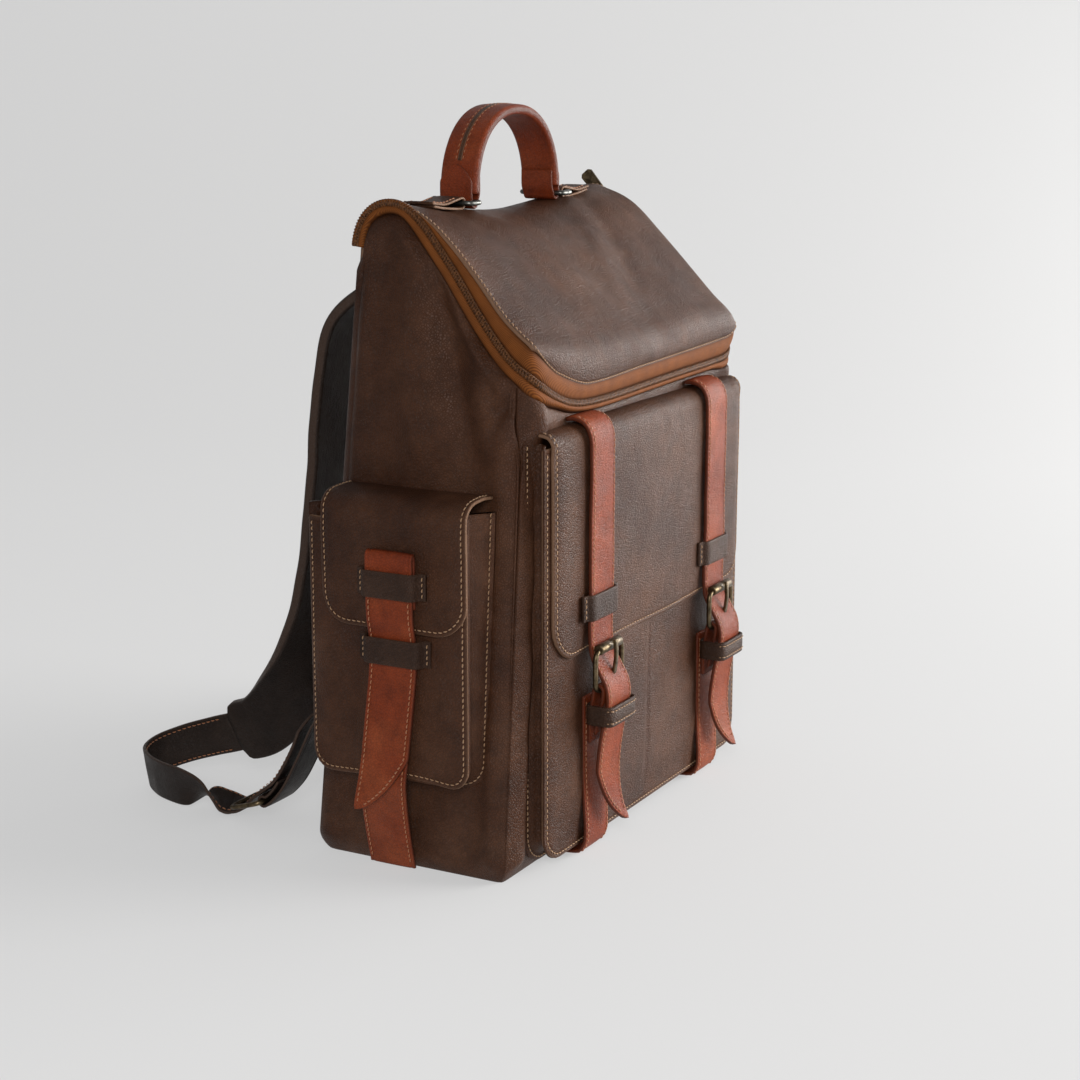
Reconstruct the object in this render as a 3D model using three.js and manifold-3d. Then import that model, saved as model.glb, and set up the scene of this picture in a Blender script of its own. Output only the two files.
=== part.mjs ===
// A leather backpack standing on its flat base, in millimetres: X is its width, -Y its pocket side, +Z up.
import * as THREE from 'three';
import { mergeVertices } from 'three/addons/utils/BufferGeometryUtils.js';
import Module from 'manifold-3d';

const wasm = await Module();
wasm.setup();

// ---- driving dimensions ----
const GAP = 0.4; // between leather pieces that are sewn or laid together
const LEATHER = 3;
const BASE_HALF_WIDTH = 174;
const WIDTH_TAPER = 0.0745; // half-width lost per millimetre of height
const FRONT_Y = -72;
const BACK_BASE_Y = 72;
const BACK_TOP_Y = 51.2;
const BACK_HEIGHT = 396;
const BACK_THICKNESS = 6;
const FRONT_HEIGHT = 288.6;
const BASE_THICKNESS = 4;

const RIDGE_SAG = 13; // how far the middle of the lid's ridge hangs below its ends
const LID_CORNER_RADIUS = 28;
const ZIP_FRONT_Z = 295.4; // height of the line where the two chains meet, along the front
const ZIP_TAPE_HEIGHT = 4.2;
const ZIP_TAPE_THICKNESS = 2.4;
const ZIP_CHAIN_HEIGHT = 1.5;
const ZIP_CHAIN_THICKNESS = 3.4;
const ZIP_HALF_GAP = 0.4; // from the closing line to either chain
const ZIP_INSET = 1; // from the bag's outer face to the middle of the tape
const ZIP_STRIP_GAP = 0.6;
const ZIP_REACH = ZIP_HALF_GAP + ZIP_CHAIN_HEIGHT + ZIP_STRIP_GAP + ZIP_TAPE_HEIGHT + ZIP_STRIP_GAP;

const HANDLE_Y = 27;
const HANDLE_HALF_SPAN = 55;
const HANDLE_FOOT_Z = 421;
const HANDLE_APEX_Z = 473.5;
const HANDLE_WIDTH = 28;
const HANDLE_THICKNESS = 7;
const RING_X = 63;
const RING_Z = 415.5;
const RING_WIRE = 1.6;

const POCKET_HALF_WIDTH = 148;
const POCKET_BOTTOM_Z = 8;
const POCKET_TOP_Z = 270;
const POCKET_DEPTH = 12.4;
const POCKET_CORNER_RADIUS = 18;
const POCKET_WALL = 2.5;

const FLAP_HALF_WIDTH = 141;
const FLAP_BOTTOM_Z = 138;
const FLAP_Y = -91;
const FLAP_CORNER_RADIUS = 22;

const CLOSURE_X = 88;
const CLOSURE_WIDTH = 32;
const CLOSURE_Y = -94.6;
const ROLLER_Z = 140;
const BUCKLE_BAR_Z = 113;
const BUCKLE_Y = -100.4;
const BUCKLE_HALF_WIDTH = 19;
const BUCKLE_WIRE = 1.7;
const ROLLER_RADIUS = 3.4;
const ROLLER_HALF_LENGTH = 14.4;

const SIDE_POCKET_X = 186.4;
const SIDE_POCKET_FRONT_Y = -54;
const SIDE_POCKET_BACK_Y = 61;
const SIDE_POCKET_BOTTOM_Z = 64;
const SIDE_POCKET_TOP_Z = 230;
const SIDE_POCKET_CORNER_RADIUS = 14;
const SIDE_FLAP_X = 191.9;
const SIDE_FLAP_TOP_Z = 245;
const SIDE_FLAP_BOTTOM_Z = 162;
const SIDE_FLAP_OVERHANG = 2.5;
const TUCK_WIDTH = 34;
const TUCK_Y = -5;

const PAD_WIDTH = 62;
const PAD_END_WIDTH = 45;
const PAD_THICKNESS = 9;
const ADJUSTER_WIDTH = 30;
const ANCHOR_X = 141;

// ---- materials ----
const COLOURS = {
  brown: { color: 0x5b4234, roughness: 0.45, metalness: 0 },
  dark: { color: 0x33241c, roughness: 0.6, metalness: 0 },
  tan: { color: 0xa8552c, roughness: 0.5, metalness: 0 },
  tape: { color: 0x9c5a24, roughness: 0.8, metalness: 0 },
  chain: { color: 0x3a2416, roughness: 0.5, metalness: 0 },
  brass: { color: 0x5e5138, roughness: 0.4, metalness: 1 },
  steel: { color: 0x4a4d4a, roughness: 0.35, metalness: 1 },
};

const group = new THREE.Group();
group.name = 'leather_backpack';

const vec = (x, y, z) => new THREE.Vector3(x, y, z);
const X_AXIS = vec(1, 0, 0);
const Y_AXIS = vec(0, 1, 0);
const Z_AXIS = vec(0, 0, 1);
const halfWidth = (z) => BASE_HALF_WIDTH - WIDTH_TAPER * z;
const backY = (z) => BACK_BASE_Y - ((BACK_BASE_Y - BACK_TOP_Y) * z) / BACK_HEIGHT;
const sideName = (side) => (side < 0 ? 'left' : 'right');

// ---- building blocks ----
function signedVolume(geometry) {
  const position = geometry.getAttribute('position');
  const index = geometry.getIndex();
  const corner = [vec(0, 0, 0), vec(0, 0, 0), vec(0, 0, 0)];
  let total = 0;
  for (let i = 0; i < index.count; i += 3) {
    corner.forEach((point, k) => point.fromBufferAttribute(position, index.getX(i + k)));
    total += corner[0].dot(corner[1].clone().cross(corner[2]));
  }
  return total / 6;
}

/** Merged vertices, with every face turned outwards. */
function tidy(source) {
  source.deleteAttribute('normal');
  source.deleteAttribute('uv');
  const geometry = mergeVertices(source, 1e-4);
  if (signedVolume(geometry) < 0) {
    const index = geometry.getIndex();
    for (let i = 0; i < index.count; i += 3) {
      const second = index.getX(i + 1);
      index.setX(i + 1, index.getX(i + 2));
      index.setX(i + 2, second);
    }
  }
  return geometry;
}

function add(name, source, colour) {
  const geometry = tidy(source);
  geometry.computeVertexNormals();
  const material = new THREE.MeshStandardMaterial({ ...COLOURS[colour], flatShading: true });
  material.name = name;
  const mesh = new THREE.Mesh(geometry, material);
  mesh.name = name;
  group.add(mesh);
}

/** A solid through rings of equal point counts, capped at both ends unless it closes on itself. */
function loft(rings, closed = false) {
  const count = rings[0].length;
  const index = [];
  const spans = closed ? rings.length : rings.length - 1;
  for (let i = 0; i < spans; i += 1) {
    const here = i * count;
    const next = ((i + 1) % rings.length) * count;
    for (let k = 0; k < count; k += 1) {
      const l = (k + 1) % count;
      index.push(here + k, next + k, next + l, here + k, next + l, here + l);
    }
  }
  if (!closed) {
    const last = (rings.length - 1) * count;
    for (let k = 1; k < count - 1; k += 1) {
      index.push(0, k, k + 1, last, last + k + 1, last + k);
    }
  }
  const geometry = new THREE.BufferGeometry();
  const flat = rings.flatMap((ring) => ring.flatMap((point) => point.toArray()));
  geometry.setAttribute('position', new THREE.Float32BufferAttribute(flat, 3));
  geometry.setIndex(index);
  return geometry;
}

/** A flat outline, with optional holes, pushed along `along` and placed by its own axes. */
function prism(outline, depth, { origin, u, v, along, holes = [] }) {
  const shape = new THREE.Shape(outline.map(([a, b]) => new THREE.Vector2(a, b)));
  for (const hole of holes) {
    shape.holes.push(new THREE.Path(hole.map(([a, b]) => new THREE.Vector2(a, b))));
  }
  const geometry = new THREE.ExtrudeGeometry(shape, { depth, bevelEnabled: false });
  const matrix = new THREE.Matrix4().makeBasis(u, v, along).setPosition(origin);
  return geometry.applyMatrix4(matrix);
}

function box(x0, x1, y0, y1, z0, z1) {
  const geometry = new THREE.BoxGeometry(x1 - x0, y1 - y0, z1 - z0);
  return geometry.translate((x0 + x1) / 2, (y0 + y1) / 2, (z0 + z1) / 2);
}

/** Moves every vertex to where `rule` says. */
function reshape(geometry, rule) {
  const position = geometry.getAttribute('position');
  const point = vec(0, 0, 0);
  for (let i = 0; i < position.count; i += 1) {
    point.fromBufferAttribute(position, i);
    rule(point);
    position.setXYZ(i, point.x, point.y, point.z);
  }
  return geometry;
}

function roundedOutline(halfU, v0, v1, radius, steps = 3) {
  const outline = [];
  const centres = [
    [halfU - radius, v1 - radius, 0],
    [-halfU + radius, v1 - radius, 90],
    [-halfU + radius, v0 + radius, 180],
    [halfU - radius, v0 + radius, 270],
  ];
  for (const [cu, cv, start] of centres) {
    for (let i = 0; i <= steps; i += 1) {
      const angle = THREE.MathUtils.degToRad(start + (90 * i) / steps);
      outline.push([cu + radius * Math.cos(angle), cv + radius * Math.sin(angle)]);
    }
  }
  return outline;
}

function circle(radius, steps) {
  const outline = [];
  for (let i = 0; i < steps; i += 1) {
    const angle = (2 * Math.PI * i) / steps;
    outline.push([radius * Math.cos(angle), radius * Math.sin(angle)]);
  }
  return outline;
}

/** A band along a path: `across` is its width direction, and its last part may be rounded or pointed. */
function band({ path, across, width, endWidth = width, thickness, steps, corner = 0, tip = 0, bevel = 0 }) {
  const END_STEPS = corner || tip ? 5 : 0;
  const curve = new THREE.CatmullRomCurve3(path, false, 'centripetal');
  const length = curve.getLength();
  const endZone = Math.max(corner, tip);
  const stops = [];
  for (let i = 0; i <= steps; i += 1) stops.push(((length - endZone) * i) / steps);
  for (let i = 1; i <= END_STEPS; i += 1) {
    stops.push(length - endZone + endZone * Math.sin((Math.PI * i) / (2 * END_STEPS)));
  }
  const rings = stops.map((stop) => {
    const fraction = Math.min(1, stop / length);
    const left = Math.max(0, length - stop);
    const point = curve.getPointAt(fraction);
    const tangent = curve.getTangentAt(fraction);
    const side = across instanceof THREE.Vector3 ? across.clone() : across(fraction);
    const normal = side.clone().cross(tangent).normalize();
    side.copy(tangent).cross(normal).normalize();
    let half = THREE.MathUtils.lerp(width, endWidth, fraction) / 2;
    if (corner && left < corner) half += -corner + Math.sqrt(corner ** 2 - (corner - left) ** 2);
    if (tip && left < tip) half = Math.max(1.2, half * (left / tip) ** 0.6);
    const place = (a, b) => point.clone().addScaledVector(side, a).addScaledVector(normal, b);
    const h = thickness / 2;
    if (!bevel) return [place(-half, -h), place(half, -h), place(half, h), place(-half, h)];
    return [
      place(-half + bevel, -h), place(half - bevel, -h), place(half, -h + bevel), place(half, h - bevel),
      place(half - bevel, h), place(-half + bevel, h), place(-half, h - bevel), place(-half, -h + bevel),
    ];
  });
  return loft(rings);
}

/** A closed loop of round wire following a flat outline. */
function wireLoop(outline, radius, { origin, u, v }) {
  const SECTION = 8;
  const normal = u.clone().cross(v);
  const points = outline.map(([a, b]) => origin.clone().addScaledVector(u, a).addScaledVector(v, b));
  const rings = points.map((point, i) => {
    const before = points[(i + points.length - 1) % points.length];
    const after = points[(i + 1) % points.length];
    const outward = after.clone().sub(before).normalize().cross(normal);
    return circle(radius, SECTION).map(([a, b]) => (
      point.clone().addScaledVector(outward, a).addScaledVector(normal, b)
    ));
  });
  return loft(rings, true);
}

function toManifold(source) {
  const geometry = tidy(source);
  const mesh = new wasm.Mesh({
    numProp: 3,
    vertProperties: new Float32Array(geometry.getAttribute('position').array),
    triVerts: new Uint32Array(geometry.getIndex().array),
  });
  mesh.merge();
  return new wasm.Manifold(mesh);
}

function fromManifold(solid) {
  const mesh = solid.getMesh();
  const geometry = new THREE.BufferGeometry();
  geometry.setAttribute('position', new THREE.BufferAttribute(mesh.vertProperties, 3));
  geometry.setIndex(new THREE.BufferAttribute(mesh.triVerts, 1));
  return geometry;
}

const cut = (target, tool) => fromManifold(toManifold(target).subtract(toManifold(tool)));
const join = (first, second) => fromManifold(toManifold(first).add(toManifold(second)));

/** A leather loop bridging a strap, sewn down on both sides: flat outline in (across, outwards). */
function bridgeOutline(halfInner, clear, wall, flange) {
  const half = [
    [halfInner, 0],
    [halfInner + flange, 0],
    [halfInner + flange, wall],
    [halfInner + wall, wall],
    [halfInner + wall, clear + wall],
  ];
  const inner = [[-halfInner, 0], [-halfInner, clear], [halfInner, clear]];
  const mirrored = half.slice(1).reverse().map(([a, b]) => [-a, b]);
  return [...half, ...mirrored, ...inner];
}

// ---- the zip's line: over the left side, round the front and back over the right side ----
const SLOPE = vec(0, -0.6493, -0.7606);
const SLOPE_UP = vec(0, SLOPE.z, -SLOPE.y); // square to the slope, out of the bag

function zipLine() {
  const at = (y, z) => vec(-halfWidth(z) + ZIP_INSET, y, z);
  const ridge = new THREE.CatmullRomCurve3(
    [at(43, 397), at(41, 402), at(36.5, 407), at(30, 409.7), at(24, 406.4), at(17, 398.5)],
    false, 'centripetal',
  );
  const corner = at(-72 + ZIP_INSET, ZIP_FRONT_Z);
  const onSlope = (distance) => {
    const point = corner.clone().addScaledVector(SLOPE, -distance);
    return at(point.y, point.z);
  };
  const left = ridge.getSpacedPoints(9);
  left.push(onSlope(90), onSlope(LID_CORNER_RADIUS + 12), onSlope(LID_CORNER_RADIUS));
  const onFront = corner.clone().add(vec(LID_CORNER_RADIUS, 0, 0));
  const turn = new THREE.QuadraticBezierCurve3(onSlope(LID_CORNER_RADIUS), corner, onFront);
  left.push(...turn.getPoints(7).slice(1), vec(-60, corner.y, ZIP_FRONT_Z));
  const right = left.slice().reverse().map((point) => vec(-point.x, point.y, point.z));
  return [...left, ...right];
}

const zipFrames = (() => {
  const points = zipLine();
  return points.map((point, i) => {
    const before = points[Math.max(0, i - 1)];
    const after = points[Math.min(points.length - 1, i + 1)];
    const tangent = after.clone().sub(before).normalize();
    const outward = vec(tangent.y, -tangent.x, 0).normalize();
    const up = outward.clone().cross(tangent).normalize();
    return { point, outward, up };
  });
})();

function zipStrip(offset, height, thickness) {
  const rings = zipFrames.map(({ point, outward, up }) => {
    const centre = point.clone().addScaledVector(up, offset);
    const place = (a, b) => centre.clone().addScaledVector(outward, a).addScaledVector(up, b);
    const [h, t] = [height / 2, thickness / 2];
    return [place(-t, -h), place(t, -h), place(t, h), place(-t, h)];
  });
  return loft(rings);
}

const chainOffset = ZIP_HALF_GAP + ZIP_CHAIN_HEIGHT / 2;
const tapeOffset = ZIP_HALF_GAP + ZIP_CHAIN_HEIGHT + ZIP_STRIP_GAP + ZIP_TAPE_HEIGHT / 2;
for (const [name, sign] of [['body', -1], ['lid', 1]]) {
  add(`zip_tape_${name}`, zipStrip(sign * tapeOffset, ZIP_TAPE_HEIGHT, ZIP_TAPE_THICKNESS), 'tape');
  add(`zip_chain_${name}`, zipStrip(sign * chainOffset, ZIP_CHAIN_HEIGHT, ZIP_CHAIN_THICKNESS), 'chain');
}

// ---- the bag's five panels ----
function facePanel(bottom, top, thickness, frontFace) {
  const outline = [
    [-halfWidth(bottom), bottom],
    [halfWidth(bottom), bottom],
    [halfWidth(top), top],
    [-halfWidth(top), top],
  ];
  const slab = prism(outline, thickness, { origin: vec(0, 0, 0), u: X_AXIS, v: Z_AXIS, along: Y_AXIS });
  return reshape(slab, (point) => {
    point.y += frontFace(point.z);
  });
}

add('front_panel', facePanel(0, FRONT_HEIGHT, LEATHER, () => FRONT_Y), 'brown');
add('back_panel', facePanel(0, BACK_HEIGHT, BACK_THICKNESS, (z) => backY(z) - BACK_THICKNESS), 'dark');

function sidePanel(side) {
  const frontEdge = FRONT_Y + LEATHER + GAP;
  const innerBack = (z) => backY(z) - BACK_THICKNESS - GAP;
  const leftRun = zipFrames.slice(0, 12);
  const edge = leftRun.map(({ point, up }) => point.clone().addScaledVector(up, -ZIP_REACH));
  const outline = [
    [frontEdge, 0],
    [innerBack(0), 0],
    [innerBack(388), 388],
    ...edge.map((point) => [point.y, point.z]),
    [frontEdge, edge.at(-1).z - (edge.at(-1).y - frontEdge) / Math.abs(SLOPE.y / SLOPE.z)],
  ];
  const slab = prism(outline, LEATHER, { origin: vec(0, 0, 0), u: Y_AXIS, v: Z_AXIS, along: X_AXIS });
  return reshape(slab, (point) => {
    point.x = side * (halfWidth(point.z) - point.x);
  });
}

for (const side of [-1, 1]) add(`side_panel_${sideName(side)}`, sidePanel(side), 'brown');

const baseHalfX = BASE_HALF_WIDTH - LEATHER - 2 * GAP;
const baseBackY = backY(BASE_THICKNESS) - BACK_THICKNESS - GAP;
add(
  'base_panel',
  box(-baseHalfX, baseHalfX, FRONT_Y + LEATHER + GAP, baseBackY, 0, BASE_THICKNESS),
  'dark',
);

// ---- the lid: a sagging sheet from the front edge over the ridge to the hinge line ----
function lidPanel() {
  const COLUMNS = 14;
  const frontEdge = vec(0, -74.5, 303.3);
  const run = zipFrames.slice(0, 11).reverse();
  const profile = run.map(({ point, up }) => {
    const lifted = point.clone().addScaledVector(up, ZIP_REACH + LEATHER / 2);
    return vec(0, lifted.y, lifted.z);
  });
  const slopeStart = frontEdge.clone().addScaledVector(SLOPE_UP, LEATHER / 2);
  const rows = [];
  for (const distance of [0, 2, 6, 12, 20, LID_CORNER_RADIUS]) {
    rows.push({ centre: slopeStart.clone().addScaledVector(SLOPE, -distance), distance });
  }
  const direct = profile[0].distanceTo(slopeStart);
  for (const distance of [0.4, 0.6, 0.8]) {
    rows.push({ centre: slopeStart.clone().lerp(profile[0], distance), distance: direct * distance });
  }
  profile.forEach((centre, i) => {
    const overRidge = Math.max(0, (i - 3) / (profile.length - 4));
    rows.push({ centre, distance: direct, held: overRidge });
  });
  const rings = rows.map(({ centre, distance, held = 0 }, i) => {
    const before = rows[Math.max(0, i - 1)].centre;
    const after = rows[Math.min(rows.length - 1, i + 1)].centre;
    const normal = X_AXIS.clone().cross(after.clone().sub(before)).normalize();
    let half = halfWidth(centre.z);
    if (distance < LID_CORNER_RADIUS) {
      const run2 = LID_CORNER_RADIUS ** 2 - (LID_CORNER_RADIUS - distance) ** 2;
      half += -LID_CORNER_RADIUS + Math.sqrt(run2);
    }
    const sag = RIDGE_SAG * Math.min(1, distance / direct) ** 1.5 * (1 - held ** 2);
    const line = (offset) => Array.from({ length: COLUMNS + 1 }, (_, k) => {
      const across = (2 * k) / COLUMNS - 1;
      const point = centre.clone().addScaledVector(normal, offset);
      return vec(across * half, point.y, point.z - sag * (1 - across ** 2));
    });
    return [...line(-LEATHER / 2), ...line(LEATHER / 2).reverse()];
  });
  return sheetOf(rings);
}

/** A thin sheet from rows of points, each row going out along one face and back along the other. */
function sheetOf(rings) {
  const geometry = loft(rings);
  const count = rings[0].length;
  const half = count / 2;
  const walls = geometry.getIndex().count - 6 * (count - 2);
  const index = Array.from(geometry.getIndex().array).slice(0, walls);
  for (const [start, turned] of [[0, false], [(rings.length - 1) * count, true]]) {
    for (let k = 0; k < half - 1; k += 1) {
      const [a, b, c, d] = [k, k + 1, count - 2 - k, count - 1 - k].map((n) => start + n);
      if (turned) index.push(a, c, b, a, d, c);
      else index.push(a, b, c, a, c, d);
    }
  }
  geometry.setIndex(index);
  return geometry;
}

add('lid_panel', lidPanel(), 'brown');

// ---- the carrying handle on the ridge ----
function handlePath(grow) {
  const path = [];
  for (let i = 0; i <= 16; i += 1) {
    const angle = Math.PI * (1 - i / 16);
    const x = (HANDLE_HALF_SPAN + grow) * Math.sign(Math.cos(angle)) * Math.abs(Math.cos(angle)) ** 0.9;
    const z = HANDLE_FOOT_Z + (HANDLE_APEX_Z - HANDLE_FOOT_Z + grow) * Math.sin(angle) ** 0.95;
    path.push(vec(x, HANDLE_Y, z));
  }
  return path;
}

add('handle_strap', band({
  path: handlePath(0), across: Y_AXIS, width: HANDLE_WIDTH, thickness: HANDLE_THICKNESS, steps: 24, bevel: 1.8,
}), 'tan');

/** Points round a ring's bar, at angles from the bag's outer side upwards. */
function roundBar(barX, side, radius, angles) {
  return angles.map((degrees) => {
    const angle = THREE.MathUtils.degToRad(degrees);
    return vec(barX + side * radius * Math.cos(angle), HANDLE_Y, RING_Z + radius * Math.sin(angle));
  });
}

for (const side of [-1, 1]) {
  const name = sideName(side);
  const ringOutline = roundedOutline(16.5, -7, 7, 2.5);
  add(`handle_ring_${name}`, wireLoop(ringOutline, RING_WIRE, {
    origin: vec(side * RING_X, HANDLE_Y, RING_Z), u: Y_AXIS, v: X_AXIS,
  }), 'steel');
  const innerBar = side * (RING_X - 7);
  const END_LEATHER = 2.4;
  const leg = HANDLE_THICKNESS / 2 + GAP + END_LEATHER / 2;
  const foot = side * HANDLE_HALF_SPAN;
  add(`handle_end_${name}`, band({
    path: [
      vec(foot - side * (leg + 0.7), HANDLE_Y, HANDLE_FOOT_Z + 9),
      vec(foot - side * (leg + 0.2), HANDLE_Y, HANDLE_FOOT_Z - 1),
      ...roundBar(innerBar, side, RING_WIRE + GAP + END_LEATHER / 2 + 0.3, [180, 225, 270, 315, 360]),
      vec(foot + side * leg, HANDLE_Y, HANDLE_FOOT_Z + 1),
      vec(foot + side * leg, HANDLE_Y, HANDLE_FOOT_Z + 10),
      vec(foot + side * leg, HANDLE_Y, HANDLE_FOOT_Z + 17),
    ],
    across: Y_AXIS, width: 25, thickness: END_LEATHER, steps: 20, tip: 9,
  }), 'tan');
  const outerBar = side * (RING_X + 7);
  add(`handle_tab_${name}`, band({
    path: [
      vec(side * 104, HANDLE_Y, 417),
      vec(side * 90, HANDLE_Y, 415.4),
      ...roundBar(outerBar, side, RING_WIRE + GAP + 1.3, [270, 225, 180, 135, 90]),
      vec(outerBar + side * 8, HANDLE_Y, RING_Z + 3.3),
      vec(side * 92, HANDLE_Y, 418.6),
      vec(side * 106, HANDLE_Y, 420),
    ],
    across: Y_AXIS, width: 22, thickness: 2, steps: 30,
  }), 'dark');
}

// ---- the zip slider and its pull, near the right end of the ridge ----
const sliderAxis = vec(-WIDTH_TAPER * SLOPE.z, SLOPE.y, SLOPE.z).normalize();
const sliderUp = SLOPE_UP.clone().normalize();
const sliderOut = sliderUp.clone().cross(sliderAxis).normalize();
const sliderZ = 403;
const sliderY = -71 + (sliderZ - ZIP_FRONT_Z) * (SLOPE.y / SLOPE.z);
const sliderSeat = vec(halfWidth(sliderZ) - ZIP_INSET, sliderY, sliderZ)
  .addScaledVector(sliderOut, ZIP_CHAIN_THICKNESS / 2 + 0.8);
const sliderBasis = { origin: sliderSeat, u: sliderAxis, v: sliderUp, along: sliderOut };
const sliderPlate = prism(roundedOutline(7, -4.8, 4.8, 2), 2, sliderBasis);
const archOutline = [[-5, -1.5], [5, -1.5], [5, 3.2], [4, 4.2], [-4, 4.2], [-5, 3.2]];
const archWindow = [[-3.6, 0.5], [3.6, 0.5], [3.6, 2.9], [-3.6, 2.9]];
const sliderArch = prism(archOutline, 2, {
  origin: sliderSeat.clone().addScaledVector(sliderOut, 2).addScaledVector(sliderUp, -1),
  u: sliderAxis, v: sliderOut, along: sliderUp, holes: [archWindow],
});
add('zip_slider', join(sliderPlate, sliderArch), 'brass');

// The pull is turned up over the end of the ridge.
const pullAxis = sliderAxis.clone().negate();
const pullStart = sliderSeat.clone().addScaledVector(sliderOut, 3).addScaledVector(pullAxis, 1);
add('zip_pull', prism(
  [[0, -3], [9, -3], [11, -4.5], [26, -5], [28, -3], [28, 3], [26, 5], [11, 4.5], [9, 3], [0, 3]],
  1.4,
  {
    origin: pullStart, u: pullAxis, v: sliderUp, along: sliderOut,
    holes: [[[1.4, -1.6], [8, -1.6], [8, 1.6], [1.4, 1.6]]],
  },
), 'brass');

// ---- the front pocket ----
function gussetOutline(halfU, bottom, top, radius, wall) {
  const arc = (r, inset) => {
    const points = [];
    for (let i = 0; i <= 4; i += 1) {
      const angle = THREE.MathUtils.degToRad(180 + (90 * i) / 4);
      points.push([
        -halfU + inset + r + r * Math.cos(angle),
        bottom + inset + r + r * Math.sin(angle),
      ]);
    }
    return points;
  };
  const mirror = (points) => points.slice().reverse().map(([a, b]) => [-a, b]);
  const outer = [[-halfU, top], ...arc(radius, 0)];
  const inner = [[-halfU + wall, top], ...arc(radius - wall, wall)];
  const innerRun = [...inner, ...mirror(inner)].reverse();
  return [...outer, ...mirror(outer), ...innerRun];
}

const pocketBack = FRONT_Y - GAP;
const pocketFace = pocketBack - POCKET_DEPTH;
add('front_pocket_gusset', prism(
  gussetOutline(POCKET_HALF_WIDTH, POCKET_BOTTOM_Z, POCKET_TOP_Z, POCKET_CORNER_RADIUS, POCKET_WALL),
  POCKET_DEPTH,
  { origin: vec(0, pocketFace, 0), u: X_AXIS, v: Z_AXIS, along: Y_AXIS },
), 'brown');

function bottomRounded(halfU, bottom, top, radius) {
  const outline = [];
  for (const [cu, start] of [[-halfU + radius, 180], [halfU - radius, 270]]) {
    for (let i = 0; i <= 4; i += 1) {
      const angle = THREE.MathUtils.degToRad(start + (90 * i) / 4);
      outline.push([cu + radius * Math.cos(angle), bottom + radius + radius * Math.sin(angle)]);
    }
  }
  return [...outline, [halfU, top], [-halfU, top]];
}

add('front_pocket_panel', prism(
  bottomRounded(POCKET_HALF_WIDTH, POCKET_BOTTOM_Z, POCKET_TOP_Z - 2, POCKET_CORNER_RADIUS),
  LEATHER,
  { origin: vec(0, pocketFace - GAP - LEATHER, 0), u: X_AXIS, v: Z_AXIS, along: Y_AXIS },
), 'brown');

add('front_flap', band({
  path: [
    vec(0, FRONT_Y - GAP - 0.2, 281.8),
    vec(0, -80, 282.6),
    vec(0, -87, 280.6),
    vec(0, -90.6, 274.5),
    vec(0, FLAP_Y, 262),
    vec(0, FLAP_Y, 200),
    vec(0, FLAP_Y, FLAP_BOTTOM_Z),
  ],
  across: X_AXIS, width: 2 * FLAP_HALF_WIDTH, thickness: LEATHER, steps: 16, corner: FLAP_CORNER_RADIUS,
}), 'brown');

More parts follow.
